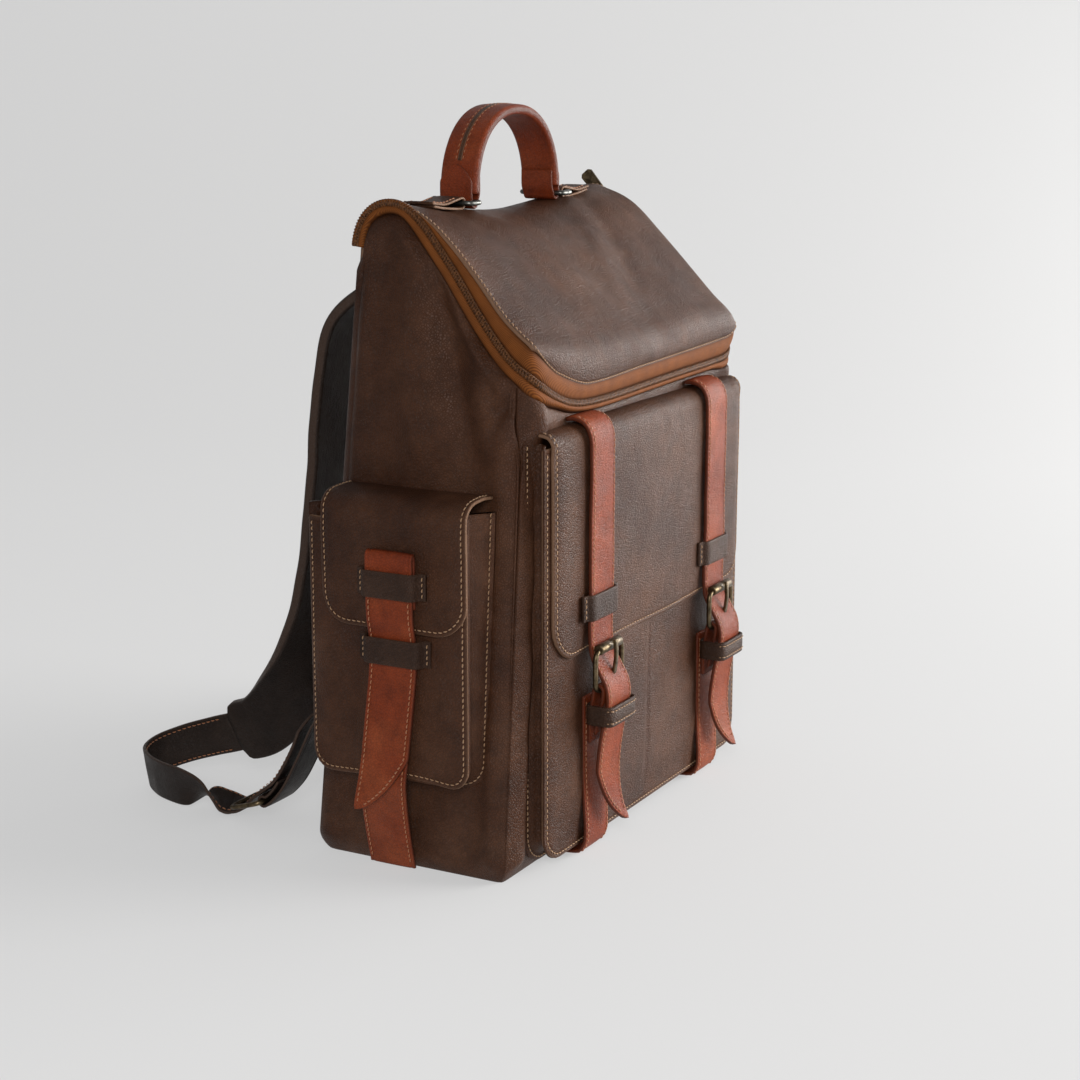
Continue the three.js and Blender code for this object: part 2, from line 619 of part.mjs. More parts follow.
// ---- the two buckled straps on the front ----
function closure(side) {
  const name = sideName(side);
  const x = side * CLOSURE_X;
  const at = (y, z) => vec(x, y, z);
  const tail = [
    at(CLOSURE_Y, 160), at(CLOSURE_Y - 0.1, 146), at(CLOSURE_Y - 1.2, 136), at(-101.5, 125),
    at(-106.4, 116), at(-107.8, 107), at(-107, 95), at(-105.4, 78), at(-105, 55), at(-106.5, 36), at(-111, 20),
  ];
  const strap = band({
    path: [at(-77.2, 286.1), at(-82, 286.4), at(-89.5, 283.8), at(-93.8, 276.4), at(CLOSURE_Y, 262), ...tail],
    across: X_AXIS, width: CLOSURE_WIDTH, thickness: LEATHER, steps: 40, tip: 32,
  });
  const slot = box(x - 3.2, x + 3.2, -114, -92, 113.5, 131);
  add(`closure_strap_${name}`, cut(strap, slot), 'tan');

  const loopBasis = (z, y) => ({
    origin: at(y, z), u: X_AXIS, v: Y_AXIS.clone().negate(), along: Z_AXIS,
  });
  const flapFace = FLAP_Y - LEATHER / 2 - GAP;
  add(`flap_loop_${name}`, prism(
    bridgeOutline(CLOSURE_WIDTH / 2 + 0.6, 4.2, 2, 6), 17, loopBasis(159, flapFace),
  ), 'dark');

  const frame = roundedOutline(BUCKLE_HALF_WIDTH, BUCKLE_BAR_Z, ROLLER_Z, 4);
  add(`buckle_frame_${name}`, wireLoop(frame, BUCKLE_WIRE, {
    origin: at(BUCKLE_Y, 0), u: X_AXIS, v: Z_AXIS,
  }), 'brass');
  add(`buckle_roller_${name}`, prism(circle(ROLLER_RADIUS, 16), 2 * ROLLER_HALF_LENGTH, {
    origin: vec(x - ROLLER_HALF_LENGTH, BUCKLE_Y, ROLLER_Z), u: Y_AXIS, v: Z_AXIS, along: X_AXIS,
    holes: [circle(BUCKLE_WIRE + GAP, 16)],
  }), 'brass');

  const PRONG_HALF = 1.7;
  const prongRing = prism(circle(3.7, 16), 2 * PRONG_HALF, {
    origin: vec(x - PRONG_HALF, BUCKLE_Y, BUCKLE_BAR_Z), u: Y_AXIS, v: Z_AXIS, along: X_AXIS,
    holes: [circle(BUCKLE_WIRE + GAP, 16)],
  });
  const shank = band({
    path: [
      at(BUCKLE_Y - 1, BUCKLE_BAR_Z + 2.8),
      at(BUCKLE_Y - 3.6, BUCKLE_BAR_Z + 9),
      at(BUCKLE_Y - 5.4, BUCKLE_BAR_Z + 20),
      at(BUCKLE_Y - 5.3, ROLLER_Z),
      at(BUCKLE_Y - 4.6, ROLLER_Z + 4.6),
    ],
    across: X_AXIS, width: 2 * PRONG_HALF, thickness: 2.2, steps: 8, bevel: 0.5,
  });
  add(`buckle_prong_${name}`, join(prongRing, shank), 'brass');

  const TAB_LEATHER = 2.2;
  const reach = BUCKLE_WIRE + GAP + TAB_LEATHER / 2 + 0.2;
  const wrap = [-10, 30, 60, 90, 120, 150, 190].map((degrees) => {
    const angle = THREE.MathUtils.degToRad(degrees);
    return at(BUCKLE_Y + reach * Math.cos(angle), BUCKLE_BAR_Z + reach * Math.sin(angle));
  });
  const tabPath = [
    at(-94.2, 80), at(-94.4, 94), at(-95.6, 104), ...wrap, at(-103, 106), at(-100.6, 98), at(-98.4, 86),
  ];
  const tab = band({
    path: tabPath, across: X_AXIS, width: CLOSURE_WIDTH - 1, thickness: TAB_LEATHER, steps: 34,
  });
  const notch = box(x - 2.6, x + 2.6, -110, -92, 107.5, 124);
  add(`buckle_tab_${name}`, cut(tab, notch), 'tan');

  add(`strap_keeper_${name}`, prism(roundedOutline(CLOSURE_WIDTH / 2 + 2.8, 92.2, 112.2, 3), 13, {
    origin: at(0, 91), u: X_AXIS, v: Y_AXIS.clone().negate(), along: Z_AXIS,
    holes: [roundedOutline(CLOSURE_WIDTH / 2 + 0.6, 92.7, 110.3, 1.5).reverse()],
  }), 'dark');

  const STRAP = 2.6;
  const face = pocketFace - GAP - LEATHER - GAP - STRAP / 2;
  add(`front_base_strap_${name}`, band({
    path: [
      at(-74, 2), at(-82, 2.4), at(-88.6, 4.2), at(-90.9, 9.5), at(-90.4, 16), at(face, 26), at(face, 60), at(face, 108),
    ],
    across: X_AXIS, width: CLOSURE_WIDTH, thickness: STRAP, steps: 16,
  }), 'tan');
}

for (const side of [-1, 1]) closure(side);

// ---- the side pockets ----
function sidePocket(side) {
  const name = sideName(side);
  const out = vec(side, 0, 0);
  const middle = (SIDE_POCKET_FRONT_Y + SIDE_POCKET_BACK_Y) / 2;
  const half = (SIDE_POCKET_BACK_Y - SIDE_POCKET_FRONT_Y) / 2;
  const gusset = prism(
    gussetOutline(half, SIDE_POCKET_BOTTOM_Z, SIDE_POCKET_TOP_Z, SIDE_POCKET_CORNER_RADIUS, POCKET_WALL),
    1,
    { origin: vec(0, middle, 0), u: Y_AXIS, v: Z_AXIS, along: out },
  );
  add(`side_pocket_gusset_${name}`, reshape(gusset, (point) => {
    const root = halfWidth(point.z) + GAP;
    point.x = side * (root + Math.abs(point.x) * (SIDE_POCKET_X - root));
  }), 'brown');
  add(`side_pocket_panel_${name}`, prism(
    bottomRounded(half, SIDE_POCKET_BOTTOM_Z, SIDE_POCKET_TOP_Z - 2, SIDE_POCKET_CORNER_RADIUS),
    LEATHER,
    { origin: vec(side * (SIDE_POCKET_X + GAP), middle, 0), u: Y_AXIS, v: Z_AXIS, along: out },
  ), 'brown');

  const at = (x, y, z) => vec(side * x, y, z);
  add(`side_flap_${name}`, band({
    path: [
      at(halfWidth(SIDE_FLAP_TOP_Z) + GAP + 0.3, middle, SIDE_FLAP_TOP_Z - 1),
      at(170, middle, SIDE_FLAP_TOP_Z),
      at(183, middle, SIDE_FLAP_TOP_Z - 1.4),
      at(190.2, middle, SIDE_FLAP_TOP_Z - 7),
      at(SIDE_FLAP_X, middle, SIDE_FLAP_TOP_Z - 17),
      at(SIDE_FLAP_X, middle, 200),
      at(SIDE_FLAP_X, middle, SIDE_FLAP_BOTTOM_Z),
    ],
    across: Y_AXIS, width: 2 * (half + SIDE_FLAP_OVERHANG), thickness: LEATHER, steps: 18, corner: 20,
  }), 'brown');

  const loopBasis = (x, z) => ({ origin: at(x, TUCK_Y, z), u: Y_AXIS, v: out, along: Z_AXIS });
  const flapFace = SIDE_FLAP_X + LEATHER / 2 + GAP;
  const panelFace = SIDE_POCKET_X + GAP + LEATHER + GAP;
  add(`side_flap_loop_${name}`, prism(
    bridgeOutline(TUCK_WIDTH / 2 + 0.8, 7, 2, 6), 17, loopBasis(flapFace, 184),
  ), 'dark');
  add(`side_pocket_loop_${name}`, prism(
    bridgeOutline(TUCK_WIDTH / 2 + 2, 7.4, 2, 6), 17, loopBasis(panelFace, 141),
  ), 'dark');

  const STRAP = 2.6;
  const under = flapFace + STRAP / 2;
  const over = under + STRAP + 0.8;
  const panelOver = panelFace + STRAP + 1.6 + STRAP / 2;
  add(`tuck_strap_${name}`, band({
    path: [
      at(under, TUCK_Y, 178), at(under, TUCK_Y, 204), at(under + 0.2, TUCK_Y, 208.6),
      at((under + over) / 2, TUCK_Y, 211), at(over - 0.2, TUCK_Y, 208.6), at(over, TUCK_Y, 204),
      at(over, TUCK_Y, 184), at(over - 0.6, TUCK_Y, 170), at(panelOver + 0.3, TUCK_Y, 158),
      at(panelOver, TUCK_Y, 140), at(panelOver + 1, TUCK_Y + 2.5, 110), at(panelOver + 1, TUCK_Y + 8, 70),
      at(panelOver + 2, TUCK_Y + 15, 40),
    ],
    across: Y_AXIS, width: TUCK_WIDTH, thickness: STRAP, steps: 40, tip: 36,
  }), 'tan');
  const laid = panelFace + STRAP / 2;
  add(`side_base_strap_${name}`, band({
    path: [
      at(175.8, 10, 0.8), at(177.8, 10, 8), at(183.4, 9, 30), at(189.6, 7, 51), at(laid + 0.9, 5, 64), at(laid + 0.1, 3, 80),
      at(laid, -2, 120), at(laid, TUCK_Y, 156),
    ],
    across: Y_AXIS, width: TUCK_WIDTH, thickness: STRAP, steps: 16,
  }), 'tan');
}

for (const side of [-1, 1]) sidePocket(side);

// ---- the shoulder straps on the back ----
/** The direction across a strap that turns from `from` to `to` between two fractions of its length. */
const turning = (from, to, start, end) => (fraction) => {
  const share = THREE.MathUtils.smoothstep(fraction, start, end);
  return from.clone().lerp(to, share).normalize();
};

function shoulder(side) {
  const name = sideName(side);
  const at = (x, y, z) => vec(side * x, y, z);
  const upright = at(0.2, 0, 0.98);
  const level = at(1, 0, 0);
  add(`shoulder_pad_${name}`, band({
    path: [
      at(56, 58, 378), at(58, 62, 366), at(62, 82, 356), at(67, 102, 338), at(71, 112, 300), at(75, 118, 235),
      at(80, 124, 170), at(84, 133, 118), at(88, 150, 72), at(90, 171, 47), at(90, 194, 38),
    ],
    across: turning(level, upright, 0.45, 0.95),
    width: PAD_WIDTH, endWidth: PAD_END_WIDTH, thickness: PAD_THICKNESS, steps: 26, bevel: 2.6, corner: 8,
  }), 'dark');

  const x = ANCHOR_X;
  add(`shoulder_strap_${name}`, band({
    path: [
      at(90.3, 198, 36.6), at(92, 214, 31.5), at(100, 234, 25), at(115, 245, 20.4), at(134, 241, 18.4), at(149, 223, 17.8),
      at(156, 202, 17.4), at(157, 186, 17), at(152, 175, 13), at(144.5, 166, 7.4), at(x, 156, 4.4), at(x, 146, 7.4),
      at(x, 134, 18.4), at(x, 126, 25.2), at(x, 117, 33), at(x - 1, 108, 47), at(x - 3, 101, 62), at(x - 6, 96, 78),
    ],
    across: turning(upright, level, 0.47, 0.62),
    width: ADJUSTER_WIDTH, thickness: 2.6, steps: 60, tip: 12,
  }), 'dark');

  const barY = 126;
  const barZ = 17;
  const frameAxis = vec(0, 26, -8).normalize();
  add(`shoulder_buckle_${name}`, wireLoop(roundedOutline(BUCKLE_HALF_WIDTH, 0, 27, 4), BUCKLE_WIRE, {
    origin: at(x, barY, barZ), u: X_AXIS, v: frameAxis,
  }), 'brass');
  const reach = BUCKLE_WIRE + GAP + 1.1 + 0.2;
  const wrap = [-110, -70, -30, 10, 50, 90, 115].map((degrees) => {
    const angle = THREE.MathUtils.degToRad(degrees);
    return at(x, barY + reach * Math.cos(angle), barZ + reach * Math.sin(angle));
  });
  add(`shoulder_anchor_${name}`, band({
    path: [at(x, 70, 92), at(x, 82, 80), at(x, 98, 50), at(x, 112, 26), ...wrap, at(x, 119, 25), at(x, 113, 33)],
    across: X_AXIS, width: ADJUSTER_WIDTH, thickness: 2.2, steps: 44,
  }), 'dark');
}

for (const side of [-1, 1]) shoulder(side);

export default group;
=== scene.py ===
"""Looks of the leather backpack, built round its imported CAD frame.

Lengths inside this script are millimetres in the CAD frame (X width, -Y pocket side, +Z up);
meshes are written in metres.
"""

import math

import bmesh
import bpy
import numpy as np
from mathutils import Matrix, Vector, noise


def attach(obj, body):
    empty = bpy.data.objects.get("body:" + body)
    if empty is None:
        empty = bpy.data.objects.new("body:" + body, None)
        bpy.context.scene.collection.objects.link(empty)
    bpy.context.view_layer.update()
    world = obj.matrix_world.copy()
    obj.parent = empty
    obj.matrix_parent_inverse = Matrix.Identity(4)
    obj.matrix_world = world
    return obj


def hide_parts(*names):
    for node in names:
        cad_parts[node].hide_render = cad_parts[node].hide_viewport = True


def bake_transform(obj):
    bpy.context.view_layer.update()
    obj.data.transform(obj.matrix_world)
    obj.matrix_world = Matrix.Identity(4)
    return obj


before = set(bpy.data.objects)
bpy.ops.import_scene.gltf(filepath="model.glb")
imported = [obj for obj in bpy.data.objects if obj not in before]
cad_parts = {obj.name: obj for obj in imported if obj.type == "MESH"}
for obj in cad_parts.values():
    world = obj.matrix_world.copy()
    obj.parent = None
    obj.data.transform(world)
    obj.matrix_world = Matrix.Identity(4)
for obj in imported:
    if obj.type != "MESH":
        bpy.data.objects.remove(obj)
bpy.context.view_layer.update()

MM = 0.001
SIDES = {"left": -1, "right": 1}

# ---- sizes shared with the CAD ----
BASE_HALF_WIDTH = 174
WIDTH_TAPER = 0.0745
FRONT_Y = -72
HINGE_Y = 53.5  # where the lid's back edge turns
LEAN_BOTTOM = 262  # above this the front wall runs out to the zip
LEAN_HEIGHT = 30
FOOT_TUCK = 4.8  # how far the walls curve in where they meet the base
FOOT_HEIGHT = 13

HANDLE_Y = 27
RING_X = 63
RING_Z = 415.5

POCKET_HALF = 148
POCKET_BOTTOM = 8
POCKET_TOP = 275
POCKET_FACE_Y = -88.2
FLAP_HALF = 142
FLAP_BOTTOM = 138
FLAP_FACE_Y = -91.6

CLOSURE_X = 88
CLOSURE_WIDTH = 32
ROLLER_Z = 140
BUCKLE_BAR_Z = 113
BUCKLE_Y = -100.4

SIDE_FACE_X = 189.8
SIDE_MIDDLE_Y = 3.5
SIDE_HALF = 57.5
SIDE_FLAP_HALF = 52.5
SIDE_BOTTOM = 64
SIDE_TOP = 228
TUCK_Y = -5
TUCK_WIDTH = 34

X = np.array([1.0, 0.0, 0.0])
Y = np.array([0.0, 1.0, 0.0])
Z = np.array([0.0, 0.0, 1.0])


def half_width(z):
    return BASE_HALF_WIDTH - WIDTH_TAPER * z


def back_y(z):
    return 72 - 0.0525 * z


# ---- small vector helpers; arrays hold one point per row ----
def unit(v):
    v = np.asarray(v, float)
    return v / np.maximum(np.linalg.norm(v, axis=-1, keepdims=True), 1e-9)


def smooth(t):
    t = np.clip(t, 0, 1)
    return t * t * (3 - 2 * t)


def bump(x, centre, width):
    """A soft hill of height 1 round `centre`."""
    return np.exp(-(((x - centre) / width) ** 2))


def wrinkles(points, size, seed):
    """Smooth noise from -1 to 1 at the points, with features about `size` millimetres across."""
    offset = Vector((seed * 7.31, seed * 3.77, seed * 5.13))
    flat = np.asarray(points, float).reshape(-1, 3) / size
    values = [noise.noise(Vector(p) + offset) for p in flat]
    return np.array(values).reshape(np.shape(points)[:-1])


def spline(points, spacing=1.5):
    """A centripetal Catmull-Rom curve through the points, sampled evenly."""
    p = np.asarray(points, float)
    p = np.vstack([2 * p[0] - p[1], p, 2 * p[-1] - p[-2]])
    dense = []
    for i in range(1, len(p) - 2):
        knots = [0.0]
        for a, b in zip(p[i - 1 : i + 2], p[i : i + 3]):
            knots.append(knots[-1] + max(np.linalg.norm(b - a), 1e-6) ** 0.5)
        t0, t1, t2, t3 = knots
        t = np.linspace(t1, t2, 24, endpoint=False)[:, None]
        a1 = (t1 - t) / (t1 - t0) * p[i - 1] + (t - t0) / (t1 - t0) * p[i]
        a2 = (t2 - t) / (t2 - t1) * p[i] + (t - t1) / (t2 - t1) * p[i + 1]
        a3 = (t3 - t) / (t3 - t2) * p[i + 1] + (t - t2) / (t3 - t2) * p[i + 2]
        b1 = (t2 - t) / (t2 - t0) * a1 + (t - t0) / (t2 - t0) * a2
        b2 = (t3 - t) / (t3 - t1) * a2 + (t - t1) / (t3 - t1) * a3
        dense.append((t2 - t) / (t2 - t1) * b1 + (t - t1) / (t2 - t1) * b2)
    return resample(np.vstack([*dense, p[-2:-1]]), spacing)


def resample(points, spacing):
    """The same line with evenly spaced points."""
    steps = np.linalg.norm(np.diff(points, axis=0), axis=1)
    along = np.concatenate([[0], np.cumsum(steps)])
    count = max(2, int(round(along[-1] / spacing)) + 1)
    wanted = np.linspace(0, along[-1], count)
    return np.stack([np.interp(wanted, along, points[:, k]) for k in range(3)], axis=1)


def lengths(points):
    steps = np.linalg.norm(np.diff(points, axis=0), axis=1)
    return np.concatenate([[0], np.cumsum(steps)])


def tangents(points):
    return unit(np.gradient(points, axis=0))


def rounded_line(corners, reaches, spacing=2.0):
    """A line through corners, each cut by an arc that starts `reach` before the corner."""
    corners = [np.asarray(c, float) for c in corners]
    line = [corners[0]]
    for before, corner, after, reach in zip(corners, corners[1:], corners[2:], reaches):
        back, ahead = unit(before - corner), unit(after - corner)
        for angle in np.linspace(0, math.pi / 2, 13):
            fall = reach * (1 - math.sin(angle))
            line.append(corner + back * fall + ahead * reach * (1 - math.cos(angle)))
    line.append(corners[-1])
    return resample(np.array(line), spacing)


# ---- materials ----
def link_noise(nodes, links, coords, scale, detail, rough=0.55):
    texture = nodes.new("ShaderNodeTexNoise")
    texture.inputs["Scale"].default_value = scale
    texture.inputs["Detail"].default_value = detail
    texture.inputs["Roughness"].default_value = rough
    links.new(coords, texture.inputs["Vector"])
    return texture.outputs["Fac"]


def ramp(nodes, links, value, stops):
    node = nodes.new("ShaderNodeValToRGB")
    elements = node.color_ramp.elements
    while len(elements) < len(stops):
        elements.new(0.5)
    for element, (position, colour) in zip(elements, stops):
        element.position = position
        element.color = (*colour, 1) if len(colour) == 3 else (colour[0],) * 3 + (1,)
    links.new(value, node.inputs["Fac"])
    return node.outputs["Color"]


def mix(nodes, links, factor, a, b, blend="MIX"):
    node = nodes.new("ShaderNodeMix")
    node.data_type = "RGBA"
    node.blend_type = blend
    for socket, value in ((node.inputs[0], factor), (node.inputs[6], a), (node.inputs[7], b)):
        if isinstance(value, (int, float)):
            socket.default_value = value
        elif isinstance(value, tuple):
            socket.default_value = (*value, 1)
        else:
            links.new(value, socket)
    return node.outputs[2]


def new_material(name):
    material = bpy.data.materials.new(name)
    material.use_nodes = True
    nodes, links = material.node_tree.nodes, material.node_tree.links
    shader = nodes["Principled BSDF"]
    coords = nodes.new("ShaderNodeTexCoord").outputs["Object"]
    return material, nodes, links, shader, coords


def add_bumps(nodes, links, shader, layers):
    """Chains bump layers of (height socket, strength, distance in millimetres)."""
    previous = None
    for height, strength, distance in layers:
        node = nodes.new("ShaderNodeBump")
        node.inputs["Strength"].default_value = strength
        node.inputs["Distance"].default_value = distance * MM
        links.new(height, node.inputs["Height"])
        if previous:
            links.new(previous, node.inputs["Normal"])
        previous = node.outputs["Normal"]
    links.new(previous, shader.inputs["Normal"])


def leather(name, deep, middle, pale, rim, rough=(0.36, 0.56), grain=0.5, specular=0.15, sheen=0.0):
    """Pull-up leather: clouded colour, fine pores, soft creases and a burnished cut edge."""
    material, nodes, links, shader, coords = new_material(name)
    clouds = link_noise(nodes, links, coords, 13, 5, 0.62)
    streaks = link_noise(nodes, links, coords, 75, 6, 0.68)
    cloudy = ramp(nodes, links, clouds, [(0.3, deep), (0.5, middle), (0.74, pale)])
    tone = ramp(nodes, links, streaks, [(0.32, (0.76,)), (0.52, (1.0,)), (0.75, (1.25,))])
    colour = mix(nodes, links, 1.0, cloudy, tone, "MULTIPLY")

    pores = nodes.new("ShaderNodeTexVoronoi")
    pores.feature = "DISTANCE_TO_EDGE"
    pores.inputs["Scale"].default_value = 620
    warp = nodes.new("ShaderNodeVectorMath")
    warp.operation = "MULTIPLY_ADD"
    warp_noise = nodes.new("ShaderNodeTexNoise")
    warp_noise.inputs["Scale"].default_value = 420
    links.new(coords, warp_noise.inputs["Vector"])
    links.new(warp_noise.outputs["Color"], warp.inputs[0])
    warp.inputs[1].default_value = (0.0016, 0.0016, 0.0016)
    links.new(coords, warp.inputs[2])
    links.new(warp.outputs["Vector"], pores.inputs["Vector"])
    cells = ramp(nodes, links, pores.outputs["Distance"], [(0.0, (0.0,)), (0.22, (1.0,))])
    pits = ramp(nodes, links, pores.outputs["Distance"], [(0.0, (0.45,)), (0.2, (1.0,))])
    colour = mix(nodes, links, 0.6, colour, pits, "MULTIPLY")

    edge = nodes.new("ShaderNodeAttribute")
    edge.attribute_name = "rim"
    worn = ramp(nodes, links, edge.outputs["Fac"], [(0.0, (0.0,)), (0.5, (0.2,)), (0.9, (0.9,))])
    colour = mix(nodes, links, worn, colour, rim)
    links.new(colour, shader.inputs["Base Color"])

    scuffs = link_noise(nodes, links, coords, 34, 6, 0.7)
    low, high = rough
    roughness = ramp(nodes, links, scuffs, [(0.3, (low,)), (0.7, (high,))])
    links.new(roughness, shader.inputs["Roughness"])
    shader.inputs["Specular IOR Level"].default_value = specular
    if sheen:
        shader.inputs["Sheen Weight"].default_value = sheen
        shader.inputs["Sheen Roughness"].default_value = 0.45
        shader.inputs["Sheen Tint"].default_value = (1.0, 0.90, 0.84, 1)

    creases = link_noise(nodes, links, coords, 170, 6, 0.68)
    add_bumps(nodes, links, shader, [
        (clouds, 0.4, 2.8),
        (creases, 0.65, 0.8),
        (cells, grain, 0.6),
    ])
    return material


def thread(name, colour):
    material, nodes, links, shader, coords = new_material(name)
    twist = link_noise(nodes, links, coords, 2600, 2)
    tone = ramp(nodes, links, twist, [(0.3, tuple(c * 0.7 for c in colour)), (0.7, colour)])
    links.new(tone, shader.inputs["Base Color"])
    shader.inputs["Roughness"].default_value = 0.7
    shader.inputs["Sheen Weight"].default_value = 0.2
    add_bumps(nodes, links, shader, [(twist, 0.4, 0.1)])
    return material


def metal(name, dark, bright, rough=(0.28, 0.5), patina=0.55):
    material, nodes, links, shader, coords = new_material(name)
    tarnish = link_noise(nodes, links, coords, 260, 6, 0.7)
    colour = ramp(nodes, links, tarnish, [(patina - 0.2, dark), (patina + 0.15, bright)])
    links.new(colour, shader.inputs["Base Color"])
    shader.inputs["Metallic"].default_value = 1.0
    low, high = rough
    spread = ramp(nodes, links, tarnish, [(0.3, (high,)), (0.75, (low,))])
    links.new(spread, shader.inputs["Roughness"])
    dents = link_noise(nodes, links, coords, 900, 3)
    add_bumps(nodes, links, shader, [(dents, 0.25, 0.12)])
    return material


def woven(name, dark, light, rib=1500.0):
    """Zip tape: fine diagonal ribs, with painted shade where the tape dips under other parts."""
    material, nodes, links, shader, coords = new_material(name)
    waves = nodes.new("ShaderNodeTexWave")
    waves.wave_type = "BANDS"
    waves.bands_direction = "DIAGONAL"
    waves.inputs["Scale"].default_value = rib / 6.0
    waves.inputs["Distortion"].default_value = 0.6
    waves.inputs["Detail"].default_value = 1.0
    links.new(coords, waves.inputs["Vector"])
    blotches = link_noise(nodes, links, coords, 90, 4)
    ribs = ramp(nodes, links, waves.outputs["Fac"], [(0.1, dark), (0.75, light)])
    shade = ramp(nodes, links, blotches, [(0.3, (0.8,)), (0.7, (1.08,))])
    colour = mix(nodes, links, 1.0, ribs, shade, "MULTIPLY")
    # painted shade: where the rim attribute is high the weave darkens to a third of its dark colour, for the
    # shade where the tape turns down beside the chain, under the lid and into the gap at the body leather
    edge = nodes.new("ShaderNodeAttribute")
    edge.attribute_name = "rim"
    colour = mix(nodes, links, edge.outputs["Fac"], colour, tuple(c * 0.35 for c in dark))
    links.new(colour, shader.inputs["Base Color"])
    shader.inputs["Roughness"].default_value = 0.72
    shader.inputs["Specular IOR Level"].default_value = 0.12
    add_bumps(nodes, links, shader, [(waves.outputs["Fac"], 0.5, 0.25)])
    return material


def moulded(name, dark, light):
    """Zip teeth: slightly glossy dark plastic with rubbed tops."""
    material, nodes, links, shader, coords = new_material(name)
    rubbed = link_noise(nodes, links, coords, 700, 4)
    colour = ramp(nodes, links, rubbed, [(0.35, dark), (0.72, light)])
    links.new(colour, shader.inputs["Base Color"])
    roughness = ramp(nodes, links, rubbed, [(0.3, (0.35,)), (0.7, (0.55,))])
    links.new(roughness, shader.inputs["Roughness"])
    shader.inputs["Specular IOR Level"].default_value = 0.2
    add_bumps(nodes, links, shader, [(rubbed, 0.2, 0.1)])
    return material


BROWN = leather(
    "brown_hide", (0.031, 0.0102, 0.0041), (0.051, 0.0187, 0.0080), (0.084, 0.036, 0.0185),
    rim=(0.165, 0.092, 0.055),
)
DARK = leather(
    "dark_hide", (0.021, 0.0092, 0.0052), (0.034, 0.0155, 0.0086), (0.056, 0.028, 0.017),
    rim=(0.050, 0.026, 0.016),
)
STRAP_DARK = leather(
    "black_brown_hide", (0.010, 0.0060, 0.0045), (0.017, 0.0100, 0.0072), (0.030, 0.019, 0.014),
    rim=(0.045, 0.026, 0.018),
)
TAN = leather(
    "tan_hide", (0.125, 0.0180, 0.0045), (0.172, 0.0290, 0.0075), (0.235, 0.052, 0.016),
    rim=(0.060, 0.014, 0.006), rough=(0.38, 0.58), grain=0.35,
)
TAPE = woven("zip_tape_weave", (0.085, 0.0230, 0.0040), (0.160, 0.050, 0.009), 2700.0)
TEETH = moulded("zip_teeth_plastic", (0.030, 0.0110, 0.0035), (0.150, 0.058, 0.018))
PALE_THREAD = thread("pale_thread", (0.330, 0.185, 0.090))
TAN_THREAD = thread("tan_thread", (0.340, 0.125, 0.045))
BRASS = metal("worn_brass", (0.034, 0.025, 0.015), (0.190, 0.140, 0.080))
STEEL = metal("blued_steel", (0.030, 0.032, 0.030), (0.200, 0.200, 0.185))


# ---- mesh builders ----
def add_piece(name, points, faces, material, body, nodes=(), rim=None):
    """A closed smooth mesh from points in millimetres, riding on the body named by `body`; any other `body`
    leaves the piece unattached where it stands.
    """
    mesh = bpy.data.meshes.new(name)
    mesh.from_pydata((np.asarray(points, float) * MM).tolist(), [], faces)
    mesh.validate()
    if rim is not None:
        layer = mesh.attributes.new("rim", "FLOAT", "POINT")
        layer.data.foreach_set("value", np.asarray(rim, np.float32))
    work = bmesh.new()
    work.from_mesh(mesh)
    bmesh.ops.recalc_face_normals(work, faces=work.faces)
    work.to_mesh(mesh)
    work.free()
    mesh.shade_smooth()
    mesh.materials.append(material)
    piece = bpy.data.objects.new(name, mesh)
    bpy.context.scene.collection.objects.link(piece)
    if isinstance(body, str):
        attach(piece, body)
    else:
        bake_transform(piece)
    if nodes:
        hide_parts(*nodes)
    return piece


def ring_faces(rows, count, closed_rows=False):
    """Quads between successive rings of `count` points."""
    faces = []
    last = rows if closed_rows else rows - 1
    for i in range(last):
        a, b = i * count, ((i + 1) % rows) * count
        for k in range(count):
            n = (k + 1) % count
            faces.append((a + k, a + n, b + n, b + k))
    return faces


def sweep(name, rings, material, body, nodes=(), closed=False, rim=None):
    """A closed body from rings of points; open ends are capped."""
    rings = np.asarray(rings, float)
    rows, count, _ = rings.shape
    faces = ring_faces(rows, count, closed)
    if not closed:
        faces.append(tuple(range(count)))
        faces.append(tuple((rows - 1) * count + k for k in range(count)))
    rims = None if rim is None else np.broadcast_to(rim, (rows, count)).reshape(-1)
    return add_piece(name, rings.reshape(-1, 3), faces, material, body, nodes, rims)


def wire(name, line, radius, material, body, nodes=(), closed=True, sides=12, flatten=1.0):
    """Round wire along a line."""
    line = np.asarray(line, float)
    if closed:
        tangent = unit(np.roll(line, -1, axis=0) - np.roll(line, 1, axis=0))
    else:
        tangent = tangents(line)
    spread = line.max(0) - line.min(0)
    plane = np.eye(3)[int(np.argmin(spread))] if closed else Z
    if not closed and abs(tangent[:, 2]).max() > 0.95:
        plane = X
    side = unit(np.cross(tangent, plane))
    up = unit(np.cross(side, tangent))
    angle = np.linspace(0, 2 * math.pi, sides, endpoint=False)
    rings = (
        line[:, None]
        + side[:, None] * (radius * np.cos(angle))[None, :, None]
        + up[:, None] * (radius * flatten * np.sin(angle))[None, :, None]
    )
    return sweep(name, rings, material, body, nodes, closed)


